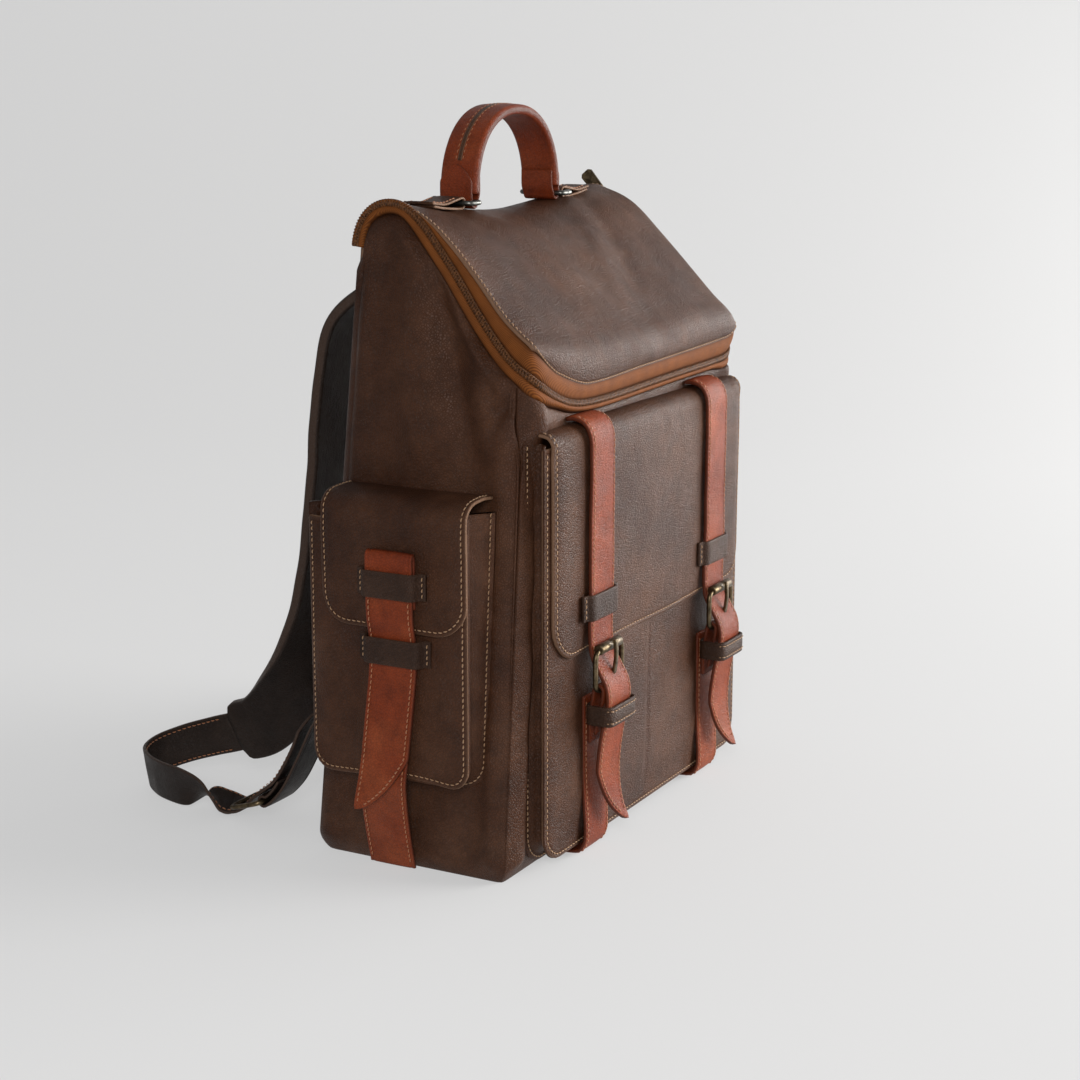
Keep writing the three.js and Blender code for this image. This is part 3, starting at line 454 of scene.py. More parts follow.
def stitches(name, line, normals, body, material=None, pitch=3.7, length=2.7, radius=0.42, lift=0.12):
    """A row of thread stitches lying on a surface, each dipping into the leather at its ends."""
    line, normals = np.asarray(line, float), np.asarray(normals, float)
    along = lengths(line)
    count = int(along[-1] // pitch)
    if count < 1:
        return None
    centres = (np.arange(count) + 0.5) * along[-1] / count

    def at(values, where):
        return np.stack([np.interp(where, along, values[:, k]) for k in range(3)], axis=-1)

    stops = np.array([-0.5, -0.32, 0.0, 0.32, 0.5])
    swell = np.array([0.35, 0.9, 1.0, 0.9, 0.35])
    height = np.array([-0.5, 0.55, 0.95, 0.55, -0.5]) * radius + lift
    where = centres[:, None] + stops[None, :] * length
    points = at(line, where)
    up = unit(at(normals, where))
    ahead = unit(at(line, where + 0.3) - at(line, where - 0.3))
    side = unit(np.cross(ahead, up))
    slant = side * (stops * 0.35)[None, :, None]
    angle = np.linspace(0, 2 * math.pi, 6, endpoint=False)
    rings = (
        (points + slant + up * height[None, :, None])[:, :, None]
        + side[:, :, None] * (radius * np.outer(swell, np.cos(angle)))[None, :, :, None]
        + up[:, :, None] * (radius * 0.8 * np.outer(swell, np.sin(angle)))[None, :, :, None]
    )
    faces = []
    block = ring_faces(5, 6) + [tuple(range(6)), tuple(range(24, 30))]
    for i in range(count):
        faces.extend(tuple(30 * i + k for k in face) for face in block)
    return add_piece(name, rings.reshape(-1, 3), faces, material or PALE_THREAD, body)


def normals_of(surface, a, s, step=0.4):
    """Unit normals of surface(a, s), which gives points for arrays of places."""
    across = surface(a + step, s) - surface(a - step, s)
    along = surface(a, s + step) - surface(a, s - step)
    return unit(np.cross(across, along))


EDGE_STEPS = [0, 0.15, 0.4, 0.8, 1.3, 1.9, 2.3, 2.7, 3.1, 3.5, 4.1, 5.2, 7]


def edge_profile(distance, radius, seam, dip):
    """How far the face lies below its level near a rounded, stitched edge."""
    near = np.clip(radius - distance, 0, radius)
    fall = radius - np.sqrt(np.maximum(radius**2 - near**2, 0))
    return fall + (dip * bump(distance, seam, 0.75) if seam else 0)


class Outline:
    """A rectangle in (across, along) with rounded corners at either end."""

    def __init__(self, half, start, end, start_radius=0.5, end_radius=0.5, spacing=4.0):
        self.half, self.start, self.end = half, start, end
        self.radii = (start_radius, end_radius)
        self.across = 2 * max(2, int(round(half / spacing)))
        self.along = 2 * max(2, int(round((end - start) / spacing / 2)))
        self.turn = 7

    def ring(self, inset):
        half = self.half - inset
        low, high = self.start + inset, self.end - inset
        first, second = (min(max(r - inset, 0.3), half, (high - low) / 2) for r in self.radii)

        def side(a0, s0, a1, s1, count):
            t = (np.arange(count) + 0.5) / count
            return np.stack([a0 + (a1 - a0) * t, s0 + (s1 - s0) * t], axis=1)

        def corner(a, s, radius, begin):
            angle = np.radians(begin + 90 * np.arange(self.turn) / (self.turn - 1))
            return np.stack([a + radius * np.cos(angle), s + radius * np.sin(angle)], axis=1)

        return np.vstack([
            side(-half + first, low, half - first, low, self.across),
            corner(half - first, low + first, first, -90),
            side(half, low + first, half, high - second, self.along),
            corner(half - second, high - second, second, 0),
            side(half - second, high, -half + second, high, self.across),
            corner(-half + second, high - second, second, 90),
            side(-half, high - second, -half, low + first, self.along),
            corner(-half + first, low + first, first, 180),
        ])

    def border(self, inset, skip=None):
        """The ring as a line: all round, or open at the 'start' or 'end' side."""
        ring = self.ring(inset)
        if skip == "start":
            return ring[self.across :]
        if skip == "end":
            begin = self.across + 2 * self.turn + self.along
            return np.vstack([ring[begin + self.across :], ring[:begin]])
        return np.vstack([ring, ring[:1]])


def plate(name, outline, surface, thickness, material, body, nodes=(), seam=2.8, dip=0.35,
          radius=1.1, spacing=4.0, pillow=0.0):
    """A leather panel on surface(a, s) with rounded edges and a shallow groove under its stitching."""
    short = min(outline.half, (outline.end - outline.start) / 2)
    insets = [d for d in EDGE_STEPS if d < short - 1]
    while insets[-1] + spacing < short - 0.8:
        insets.append(insets[-1] + spacing)
    insets.append(short - 0.6)
    top, under, rims = [], [], []
    for inset in insets:
        a, s = outline.ring(inset).T
        base, normal = surface(a, s), normals_of(surface, a, s)
        rise = pillow * (1 - math.exp(-inset / 12)) if pillow else 0
        level = edge_profile(inset, radius, seam, dip)
        top.append(base + normal * (rise - level))
        under.append(base + normal * (-thickness + edge_profile(inset, radius * 0.8, 0, 0)))
        rims.append(np.full(len(a), math.exp(-inset / 0.8)))
    count = len(top[0])
    rings = top[::-1] + under
    points = np.vstack(rings)
    faces = ring_faces(len(rings), count)
    wide = outline.half > (outline.end - outline.start) / 2
    if wide:
        total = 2 * (outline.across + outline.turn) + outline.along - 1
        start = outline.across + outline.turn + outline.along // 2
    else:
        total = outline.across - 1
        start = outline.across // 2
    for base in (0, (len(rings) - 1) * count):
        for k in range(count // 2 - 1):
            i, n = (start + k) % count, (start + k + 1) % count
            faces.append(tuple(base + j for j in (i, n, (total - n) % count, (total - i) % count)))
    rim = np.concatenate([*rims[::-1], *rims])
    return add_piece(name, points, faces, material, body, nodes, rim)


def seam_on(name, outline, surface, inset, body, skip=None, material=None, dip=0.35, pitch=3.7):
    """Stitches along a plate's border."""
    ring = outline.border(inset, skip)
    line = resample(np.column_stack([ring, np.zeros(len(ring))]), 1.5)
    a, s = line[:, 0], line[:, 1]
    normal = normals_of(surface, a, s)
    return stitches(name, surface(a, s) - normal * dip, normal, body, material, pitch)


class Strap:
    """A strap's line with its width direction; gives points at (length along, across, height)."""

    def __init__(self, path, across, spacing=1.5, smooth_path=True):
        self.line = spline(path, spacing) if smooth_path else resample(np.asarray(path, float), spacing)
        self.along = lengths(self.line)
        self.length = self.along[-1]
        tangent = tangents(self.line)
        share = self.along / self.length
        side = np.array([across(t) for t in share]) if callable(across) else np.tile(across, (len(share), 1))
        self.normal = unit(np.cross(side, tangent))
        self.side = unit(np.cross(tangent, self.normal))

    def at(self, along, across, height):
        along = np.asarray(along, float)

        def take(values):
            return np.stack([np.interp(along, self.along, values[:, k]) for k in range(3)], axis=-1)

        return (
            take(self.line)
            + take(self.side) * np.asarray(across)[..., None]
            + take(self.normal) * np.asarray(height)[..., None]
        )

    def up(self, along):
        along = np.asarray(along, float)
        return np.stack([np.interp(along, self.along, self.normal[:, k]) for k in range(3)], axis=-1)


def tapered(width, end_width, length, tip=0, lean=0.0, corner=0):
    """Left and right edges of a strap along its length, with a rounded, pointed or leaning tip."""
    def edges(s):
        share = s / length
        half = (width + (end_width - width) * share) / 2
        left, right = -half, half
        rest = np.clip(length - s, 0, None)
        if tip:
            t = np.clip(rest / tip, 0, 1)
            point = lean * half
            curve = t**0.62
            left = point + (left - point) * np.where(lean < 0, t**0.35, curve)
            right = point + (right - point) * np.where(lean > 0, t**0.35, curve)
        if corner:
            t = np.clip(corner - rest, 0, corner)
            cut = corner - np.sqrt(np.maximum(corner**2 - t**2, 0))
            left, right = left + cut, right - cut
        return left, right
    return edges


def belt(name, strap, width, thickness, material, body, nodes=(), edges=None, seam=2.6, dip=0.3,
         radius=None, crown=0.25, ripple=0.0, seed=1, outer=1):
    """A strap with rounded edges, stitch grooves and a slightly domed outer face."""
    radius = radius or min(1.0, thickness * 0.45)
    edges = edges or tapered(width, width, strap.length)
    s = strap.along
    left, right = edges(s)
    left, right = np.broadcast_to(left, s.shape), np.broadcast_to(right, s.shape)
    steps = [d for d in EDGE_STEPS if d < 5.5 and d < width / 2 - 1]
    middle = np.linspace(steps[-1], width / 2, 4)[1:]
    inward = np.array(steps + list(middle))
    share = np.concatenate([inward, (width - inward)[::-1][1:]]) / width
    distance = np.minimum(share, 1 - share) * width
    a = left[:, None] + (right - left)[:, None] * share[None]
    fit = np.clip((right - left) / width, 0.05, 1)[:, None]
    dome = crown * (1 - (2 * share - 1) ** 2)[None]
    fade = smooth((strap.length - s) / 3)[:, None] * smooth(s / 3)[:, None] if seam else 1
    level = edge_profile(distance, radius, seam, dip)[None] * (fade * fit + (1 - fade))
    level = np.maximum(level, edge_profile(distance, radius, 0, 0)[None])
    grid_s = np.repeat(s[:, None], a.shape[1], axis=1)
    face = thickness / 2 + dome - level
    back = -thickness / 2 + edge_profile(distance, radius, 0, 0)[None] + 0 * a
    if ripple:
        wave = ripple * wrinkles(strap.at(grid_s, a, 0 * a), 26, seed)
        face, back = face + wave, back + wave
    front_points = strap.at(grid_s, a, outer * face)
    back_points = strap.at(grid_s, a, outer * back)
    rings = np.concatenate([front_points, back_points[:, ::-1]], axis=1)
    rim_row = np.exp(-distance / 0.8)
    rim = np.concatenate([rim_row, rim_row[::-1]])[None]
    return sweep(name, rings, material, body, nodes, rim=rim)


def belt_seams(name, strap, width, thickness, body, edges=None, inset=2.6, ends=(3, 3), material=None,
               which=(-1, 1), outer=1, dip=0.3, crown=0.25):
    """Stitch rows along a strap's edges."""
    edges = edges or tapered(width, width, strap.length)
    rows = []
    s = np.arange(ends[0], strap.length - ends[1], 1.0)
    left, right = edges(s)
    for sign in which:
        a = (left + inset if sign < 0 else right - inset) + 0 * s
        keep = (right - left) > 2.2 * inset
        s_kept, a_kept = s[keep], a[keep]
        height = (thickness / 2 + crown * 0.3 - dip * 0.6) * outer
        label = f"{name}_{'a' if sign < 0 else 'b'}"
        row = stitches(
            label, strap.at(s_kept, a_kept, height + 0 * s_kept), strap.up(s_kept) * outer, body,
            material or TAN_THREAD,
        )
        rows.append(row)
    return rows


# ---- the zip's line: over the left end of the ridge, round the front, and up the right side ----
LEFT_FLANK = [
    (50.5, 392), (49.5, 402), (45, 411), (37, 417.8), (27, 420.4), (15, 418), (3.5, 409.5), (-7.7, 396.8),
    (-23.2, 377.8), (-34.4, 362.2), (-45.5, 347.5), (-56, 335.0), (-65.5, 325.5),
]
FRONT_LINE = [
    (-149.3, -73.5, 321), (-142, -77.5, 314.5), (-130, -78.5, 307.5), (-118, -78.5, 302.3),
    (-99, -78.5, 296.5),
    (-75, -78.5, 294), (-40, -78.5, 293.6), (0, -78, 294.2), (60, -78.5, 295.6), (115, -80, 297),
    (137, -80.5, 299), (147, -77.5, 303.5), (150.6, -68, 308.5),
]
RIGHT_FLANK = [
    (-51.7, 318), (-41.5, 330), (-24.4, 350), (-7.3, 370), (9.8, 390), (17, 398.6), (24, 406.6),
    (30, 409.8), (36.5, 408), (43, 403.5), (49, 395), (52, 386),
]
ZIP = spline(
    [(-half_width(z) + 1, y, z) for y, z in LEFT_FLANK] + FRONT_LINE
    + [(half_width(z) - 1, y, z) for y, z in RIGHT_FLANK], 1.5,
)


def softened(values, reach):
    """Values along a line averaged over `reach` neighbours on each side."""
    kernel = np.hanning(2 * reach + 3)[1:-1]
    padded = np.pad(values, ((reach, reach), (0, 0)), mode="reflect", reflect_type="odd")
    return np.stack([np.convolve(padded[:, k], kernel / kernel.sum(), "valid") for k in range(3)], axis=1)


ZIP = softened(ZIP, 9)
ZIP_ALONG = lengths(ZIP)
ZIP_TANGENT = tangents(ZIP)
ZIP_OUT = np.stack([ZIP_TANGENT[:, 1], -ZIP_TANGENT[:, 0], 0 * ZIP[:, 0]], axis=1)
# on the flanks the line runs in an upright plane, so it faces straight out to its side
flank_share = smooth((np.abs(ZIP[:, 0]) - 136) / 12)[:, None]
ZIP_OUT = unit(unit(ZIP_OUT) * (1 - flank_share) + np.sign(ZIP[:, :1]) * X * flank_share)
ZIP_OUT = unit(softened(ZIP_OUT, 12))
ZIP_UP = unit(np.cross(ZIP_OUT, ZIP_TANGENT))
ZIP_OUT = unit(np.cross(ZIP_TANGENT, ZIP_UP))
LEFT_CORNER = int(np.argmin(np.linalg.norm(ZIP - np.array(FRONT_LINE[0]), axis=1)))
RIGHT_CORNER = int(np.argmin(np.linalg.norm(ZIP - np.array(FRONT_LINE[-1]), axis=1)))
ON_FRONT = smooth((140 - np.abs(ZIP[:, 0])) / 30) * (ZIP[:, 1] < -60)
AT_RIDGE = smooth((ZIP[:, 1] + 5) / 25)
BODY_DROP = 9.0 - 3.6 * ON_FRONT - 2.5 * AT_RIDGE  # from the zip's middle line down to the body leather


def zip_at(out, up):
    """The zip's line moved outwards and upwards."""
    out, up = np.asarray(out, float), np.asarray(up, float)
    return ZIP + ZIP_OUT * out[..., None] + ZIP_UP * up[..., None]


def zip_strip(name, profile, reach, material, body, nodes, rim=None):
    """A strip beside the zip; profile is (out, share of `reach` from the middle line)."""
    rings = np.stack([zip_at(out, reach * share) for out, share in profile], axis=1)
    return sweep(name, rings, material, body, nodes, rim=rim)


TAPE_PROFILE = [
    (-0.8, 0.20), (0.0, 0.22), (0.9, 0.30), (1.5, 0.42), (1.75, 0.58), (1.5, 0.74), (0.8, 0.88), (-0.5, 1.0),
    (-1.6, 1.12), (-2.4, 1.12), (-1.6, 0.8), (-1.2, 0.4),
]
# painted shade on the body's zip tape: 1 darkens fully, on the faces that turn down beside the chain and into
# the gap at the body leather, and on the underside
TAPE_PAINTED_SHADE = [0.9, 0.75, 0.15, 0.0, 0.0, 0.0, 0.2, 0.75, 1.0, 1.0, 1.0, 1.0]
zip_strip("zip_tape_body_cloth", TAPE_PROFILE, -BODY_DROP, TAPE, "bag", ["zip_tape_body"], TAPE_PAINTED_SHADE)
CHAIN_PROFILE = [(-1.0, 0.1), (0.35, 0.12), (0.7, 0.3), (0.75, 0.75), (0.3, 1.0), (-1.0, 1.0)]


def zip_teeth(name, sign, shift, body, node):
    """A row of small interlocking teeth over a narrow base strip."""
    where = np.arange(2 + shift, ZIP_ALONG[-1] - 2, 1.9)

    def take(values):
        return np.stack([np.interp(where, ZIP_ALONG, values[:, k]) for k in range(3)], axis=-1)

    point, out, up, ahead = take(ZIP), take(ZIP_OUT), take(ZIP_UP), take(ZIP_TANGENT)
    shape = [
        (0.2, -0.85, 0.44), (1.2, -0.85, 0.44), (1.75, -0.3, 0.40), (1.8, 1.0, 0.34), (1.4, 2.35, 0.30),
        (0.2, 2.45, 0.30),
    ]
    rings = []
    for turn in (-1, 1):
        for lift, reach, half in shape:
            lean = 0.3 * reach
            rings.append(point + out * lift + up * (sign * reach) + ahead * (turn * half + lean))
    points = np.stack(rings, axis=1).reshape(-1, 3)
    count = len(shape)
    block = [tuple(range(count)), tuple(range(count, 2 * count))]
    block += [(k, (k + 1) % count, count + (k + 1) % count, count + k) for k in range(count)]
    faces = [tuple(2 * count * i + k for k in face) for i in range(len(where)) for face in block]
    zip_strip(f"{name}_strip", CHAIN_PROFILE, 2.3 * sign + 0 * ZIP_ALONG, TEETH, body, [node])
    add_piece(name, points, faces, TEETH, body)


zip_teeth("zip_teeth_lid", 1, 0.0, "lid", "zip_chain_lid")
zip_teeth("zip_teeth_body", -1, 0.95, "bag", "zip_chain_body")


# ---- the bag's soft panels ----
def shell(name, grid, thickness, material, body, nodes, inward):
    """A sheet from a grid of outer points, with its inner face moved along `inward`."""
    grid = np.asarray(grid, float)
    rows, columns, _ = grid.shape
    inner = grid + inward * thickness
    points = np.concatenate([grid.reshape(-1, 3), inner.reshape(-1, 3)])
    total = rows * columns
    faces = []
    for i in range(rows - 1):
        for k in range(columns - 1):
            a = i * columns + k
            quad = (a, a + 1, a + columns + 1, a + columns)
            faces.append(quad)
            faces.append(tuple(total + j for j in quad[::-1]))
    border = (
        [k for k in range(columns)]
        + [i * columns + columns - 1 for i in range(1, rows)]
        + [(rows - 1) * columns + k for k in range(columns - 2, -1, -1)]
        + [i * columns for i in range(rows - 2, 0, -1)]
    )
    for a, b in zip(border, border[1:] + border[:1]):
        faces.append((a, b, total + b, total + a))
    return add_piece(name, points, faces, material, body, nodes)


def crowded(count, crowding):
    """Fractions from 0 to 1 that crowd together towards both ends."""
    t = np.linspace(0, 1, count)
    return t - crowding * np.sin(2 * math.pi * t) / (2 * math.pi)


BODY_EDGE = zip_at(-2.0, -BODY_DROP)


def leans_forward(z):
    """Share of the step from the upright front wall to the zip's line, by height."""
    return smooth((z - LEAN_BOTTOM) / LEAN_HEIGHT)


def foot_curve(z):
    """How far the walls tuck in at their foot."""
    return FOOT_TUCK * np.clip(1 - z / FOOT_HEIGHT, 0, 1) ** 2.0


def side_grid(side):
    """One side's outer surface, drawn as a left side: rows rise, columns run from back to front."""
    flank = BODY_EDGE[: LEFT_CORNER + 1] if side < 0 else (BODY_EDGE * [-1, 1, 1])[: RIGHT_CORNER - 1 : -1]
    start = np.array([-half_width(380), back_y(380) - 0.5, 380.0])
    top = np.vstack([start, flank])
    along = lengths(top) / lengths(top)[-1]
    u = crowded(84, 0.6)
    upper = np.stack([np.interp(u, along, top[:, k]) for k in range(3)], axis=1)
    lower = np.stack([np.full_like(u, -BASE_HALF_WIDTH), back_y(0) + (FRONT_Y - back_y(0)) * u, 0 * u],
        axis=1)
    v = crowded(132, 0.5)[:, None]
    grid = lower[None] + (upper - lower)[None] * v[..., None]
    v2, u2 = np.broadcast_arrays(v, u[None])
    grid[..., 1] += (upper[-1, 1] - FRONT_Y) * (leans_forward(grid[..., 2]) - v2) * u2 ** 6
    y, z = grid[..., 1], grid[..., 2]
    front, back, below_top = y - FRONT_Y, back_y(z) - y, (1 - v2) * (upper[None, :, 2] + 0 * z)
    mirror_shift = side * 40

    # fullness: the upper half stands out and the lower half is nearly flat
    belly = np.sin(math.pi * u2) ** 0.7 * np.sin(math.pi * v2) ** 0.6
    out = 8.0 * belly * (0.4 + 0.6 * smooth((z - 190) / 120))
    # both leathers swell beside the sewn corners
    out += 3.4 * bump(front, 11, 7.5) * smooth(z / 14) + 2.2 * bump(back, 11, 8) * smooth(z / 14)
    out += 2.6 * bump(below_top, 9, 7) * smooth(front / 20) * smooth(back / 10)
    # soft upright folds hanging from the zip, with a dent behind the front corner
    hang = smooth((z - 245) / 50) * smooth(below_top / 10)
    out += 3.4 * bump(y, 4 + (z - 330) * 0.10, 12) * hang
    out -= 4.6 * bump(y, -21 + (z - 330) * 0.24, 9) * hang
    out += 2.8 * bump(y, -42 + (z - 330) * 0.16, 9) * smooth((z - 232) / 44) * smooth(below_top / 8)
    out -= 2.6 * bump(y + 0.35 * (z - 300), -60, 4.5) * bump(z, 302, 16)
    out -= 1.8 * bump(z + 0.5 * y, 268, 6) * bump(y, -55, 22)
    soft = smooth(front / 12) * smooth(back / 12)
    out += (1.7 * wrinkles(grid + mirror_shift, 52,
        3) + 0.8 * wrinkles(grid * [1, 1, 0.6] + mirror_shift, 21, 5)) * soft
    out *= smooth(z / 16)
    rounding = 1.4 * np.clip(1 - front / 7, 0, 1) ** 2 + 2.6 * np.clip(1 - back / 12, 0, 1) ** 2
    foot = foot_curve(z)
    rounding += foot + 2.2 * np.clip(1 - below_top / 3, 0, 1) ** 2
    grid[..., 0] += rounding - out
    grid[..., 1] += foot * np.clip(1 - front / 40, 0, 1) - foot * np.clip(1 - back / 40, 0, 1)
    grid[..., 1] += 0.9 * np.clip(1 - front / 4, 0, 1) ** 2 - 2.0 * np.clip(1 - back / 8, 0, 1) ** 2
    return grid * [-side, 1, 1]


for side_name, side in SIDES.items():
    shell(
        f"side_leather_{side_name}", side_grid(side), 2.6, BROWN, "bag", [f"side_panel_{side_name}"],
        -side * X,
    )


def front_grid():
    """The bag's front between its two corner seams: rows rise, columns run from left to right."""
    top = BODY_EDGE[LEFT_CORNER : RIGHT_CORNER + 1]
    along = lengths(top) / lengths(top)[-1]
    u = crowded(150, 0.75)
    upper = np.stack([np.interp(u, along, top[:, k]) for k in range(3)], axis=1)
    lower = np.stack([-BASE_HALF_WIDTH + 2 * BASE_HALF_WIDTH * u, 0 * u + FRONT_Y, 0 * u], axis=1)
    # the sewn corners stay on one line although the zip's corner stands forward
    v = crowded(96, 0.5)[:, None]
    grid = lower[None] + (upper - lower)[None] * v[..., None]
    z = grid[..., 2]
    forward = leans_forward(z)
    grid[..., 1] = FRONT_Y + (grid[..., 1] - FRONT_Y) * forward
    edge = half_width(z) - np.abs(grid[..., 0])
    below_top = (1 - v) * upper[None, :, 2]
    out = 4.8 * bump(edge, 13, 8.5) * smooth(z / 14) + 2.0 * bump(below_top, 12, 8) * smooth(edge / 20)
    out += (1.3 * wrinkles(grid, 38,
        11) + 0.5 * wrinkles(grid, 17, 13)) * smooth(edge / 12) * smooth(below_top / 10)
    out *= smooth(z / 16)
    foot = foot_curve(z)
    rounding = 1.2 * np.clip(1 - edge / 7, 0, 1) ** 2 + foot
    rounding = rounding + 1.8 * np.clip(1 - below_top / 3, 0, 1) ** 2
    grid[..., 1] += rounding - out
    grid[..., 0] -= np.sign(grid[...,
        0]) * (0.9 * np.clip(1 - edge / 4, 0, 1) ** 2 + foot * np.clip(1 - edge / 40, 0, 1))
    return grid


shell("front_leather", front_grid(), 2.6, BROWN, "bag", ["front_panel"], Y)


def corner_seam(side):
    """The sewn edge where a side meets the front."""
    top = BODY_EDGE[LEFT_CORNER if side < 0 else RIGHT_CORNER]
    z = np.linspace(2, top[2] - 4, 90)
    x = side * (half_width(z) - 1.9 - foot_curve(z))
    return np.column_stack([x,
        FRONT_Y + 1.9 + foot_curve(z) + (top[1] + 1 - FRONT_Y) * leans_forward(z), z])


for side_name, side in SIDES.items():
    wire(f"corner_piping_{side_name}", corner_seam(side), 0.8, BROWN, "bag", closed=False)


def back_surface(a, s):
    """The padded back: across, and height up the panel."""
    z = s
    half = half_width(z) - 3
    share = np.clip(np.abs(a) / half, 0, 1)
    puff = 3.2 * (1 - share**6) * smooth(s / 30) * smooth((392 - s) / 30)
    y = back_y(z) + puff - 2.6
    y = y + 0.9 * wrinkles(np.stack([a, 0 * a, s], axis=-1), 60, 21) * smooth(s / 20)
    x = -a * half / (BASE_HALF_WIDTH - 3)
    return np.stack([x, y, z], axis=-1)


BACK = Outline(BASE_HALF_WIDTH - 3, 2, 396, 9, 4, spacing=6)
back = plate(
    "back_leather", BACK, back_surface, 5.5, BROWN, "bag", ["back_panel"], seam=6.3, dip=1.0, radius=2.4,
    spacing=6,
)
seam_on("back_seam", BACK, back_surface, 6.3, "bag", dip=0.9)

BASE = Outline(169, -66, 67, 7, 7, spacing=8)
plate(
    "base_leather", BASE, lambda a, s: np.stack([a, s, 0 * a + 3.4], axis=-1), 3.2, DARK, "bag",
    ["base_panel"], seam=0, radius=0.9, spacing=8,
)

# ---- the lid: profiles in (y, z) from its front edge over the ridge to the hinge ----
LID_PROFILES = [
    (-1.0, [(-79, 333), (-79.5, 335.5), (-77.5, 338.5), (-70, 344), (-58, 354), (-38, 377), (-18.5, 397),
            (0, 411.5), (22, 419.5), (40, 415), (HINGE_Y, 393.5)]),
    (-0.8, [(-79.5, 317), (-81.5, 323), (-80, 332), (-69, 343), (-55, 357.5), (-34, 380), (-14, 399.5),
            (6, 411.5), (24, 416), (42, 411), (HINGE_Y, 393.5)]),
    (-0.53, [(-79.5, 304.5), (-82, 315), (-80, 327), (-69, 340), (-54, 356.5), (-32, 379), (-12, 397.5),
             (8, 408.5), (25, 411.5), (42, 407), (HINGE_Y, 393.5)]),
    (0.0, [(-79.5, 306), (-82, 316), (-79.5, 327), (-69, 339.5), (-53, 356), (-31, 379), (-11, 397),
           (8, 406), (26, 408), (42, 404.5), (HINGE_Y, 393.5)]),
    (0.55, [(-80.5, 308.5), (-83, 318), (-80.5, 328.5), (-69, 341), (-53, 358), (-30, 382), (-9, 401),
            (9, 410.5), (27, 412.5), (42, 408.5), (HINGE_Y, 393.5)]),
    (0.9, [(-82.5, 311), (-85, 320), (-82, 330), (-70, 342), (-54, 359), (-30, 384), (-6, 407),
           (12, 415), (28, 418), (43, 412), (HINGE_Y, 393.5)]),
    (1.0, [(-81.5, 311.5), (-82.5, 315), (-78, 318), (-66, 322), (-50, 335), (-31, 357), (-11.5, 380),
           (5, 399), (24, 416.5), (42, 412.5), (HINGE_Y, 393.5)]),
]
LID_STEPS = 220


def lid_curves():
    """Every profile as a curve whose points match up by control point, not by length."""
    curves = []
    for _, profile in LID_PROFILES:
        dense = spline([(0, *p) for p in profile], 0.8)
        marks = [int(np.argmin(np.abs(dense[:, 1:] - np.array(p)).sum(axis=1))) for p in profile]
        places = np.interp(np.linspace(0, len(profile) - 1, LID_STEPS), range(len(profile)), marks)
        curve = [np.interp(places, range(len(dense)), dense[:, k]) for k in (1, 2)]
        kernel = np.hanning(9) / np.hanning(9).sum()
        curve = [np.convolve(np.pad(c, 4, mode="reflect", reflect_type="odd"), kernel,
            "valid") for c in curve]
        curves.append(np.stack(curve, axis=1))
    return np.array(curves)


LID_CURVES = lid_curves()
middle_curve = LID_CURVES[3]
LID_ALONG = lengths(np.column_stack([middle_curve, 0 * middle_curve[:, 0]]))
LID_LENGTH = LID_ALONG[-1]
LID_HALF = half_width(311) - 0.5


def lid_surface(a, s):
    share = np.clip(a / LID_HALF, -1.02, 1.02)
    place = np.interp(np.clip(s, 0, LID_LENGTH), LID_ALONG, np.arange(LID_STEPS))
    row = np.clip(place.astype(int), 0, LID_STEPS - 2)
    part = (place - row)[..., None]
    stops = np.array([stop for stop, _ in LID_PROFILES])
    knot = np.clip(np.searchsorted(stops, share) - 1, 0, len(stops) - 2)
    t = np.clip((share - stops[knot]) / (stops[knot + 1] - stops[knot]), 0, 1)
    rounded = 1 - np.sqrt(np.maximum(1 - t**2, 0))
    t = np.where(knot == len(stops) - 2, rounded, t)[..., None]

    def at(k):
        return LID_CURVES[k, row] * (1 - part) + LID_CURVES[k, row + 1] * part

    def value(k):
        return at(np.clip(k, 0, len(stops) - 1))

    # cubic blending between the profiles keeps the sheet smooth; the last strip rolls over
    before, here, after, beyond = value(knot - 1), value(knot), value(knot + 1), value(knot + 2)
    cubic = 0.5 * (
        2 * here + (after - before) * t + (2 * before - 5 * here + 4 * after - beyond) * t**2
        + (3 * here - before - 3 * after + beyond) * t**3
    )
    linear = here * (1 - t) + after * t
    plain = ((knot == len(stops) - 2) | (knot == len(stops) - 3))[..., None]
    yz = np.where(plain, linear, cubic)
    where = np.stack([a, 0 * a, s], axis=-1)
    inner = smooth((1 - np.abs(share)) / 0.08) * smooth(s / 14)
    dent = 1.1 * wrinkles(where, 66, 31) + 0.5 * wrinkles(where * [1, 1, 0.5], 26, 33)
    # soft draws running down from the ridge's ends
    for sign, reach in ((-1, 0.7), (1, 0.7)):
        fold = bump(a * sign - 100 + (165 - s) * 0.5, 0, 11)
        dent = dent - 1.8 * reach * fold * smooth((s - 40) / 40) * smooth((LID_LENGTH - s) / 30)
        dent = dent + 1.4 * reach * bump(a * sign - 78 + (165 - s) * 0.6, 0,
            12) * smooth((s - 30) / 40) * smooth((LID_LENGTH - s) / 30)
    half = half_width(yz[..., 1]) - 0.5
    x = np.clip(a / LID_HALF, -1.02, 1.02) * half
    return np.stack([x, yz[..., 0] - 0.7 * dent * inner, yz[..., 1] + 0.7 * dent * inner], axis=-1)


LID = Outline(LID_HALF, 0, LID_LENGTH, 20, 1.5, spacing=3.5)
# the bag and lid bodies with a point on each where the lid's leather is sewn to the back wall; a piece given
# this is left unattached
LID_BEND = ("bag", "lid", (0, 0.0530, 0.3985), (0, 0.0440, 0.3985))
plate("lid_leather", LID, lid_surface, 2.6, BROWN, LID_BEND, ["lid_panel"], seam=2.4, radius=1.0, spacing=3.5)
seam_on("lid_seam", LID, lid_surface, 2.4, "lid", skip="end", pitch=3.4)


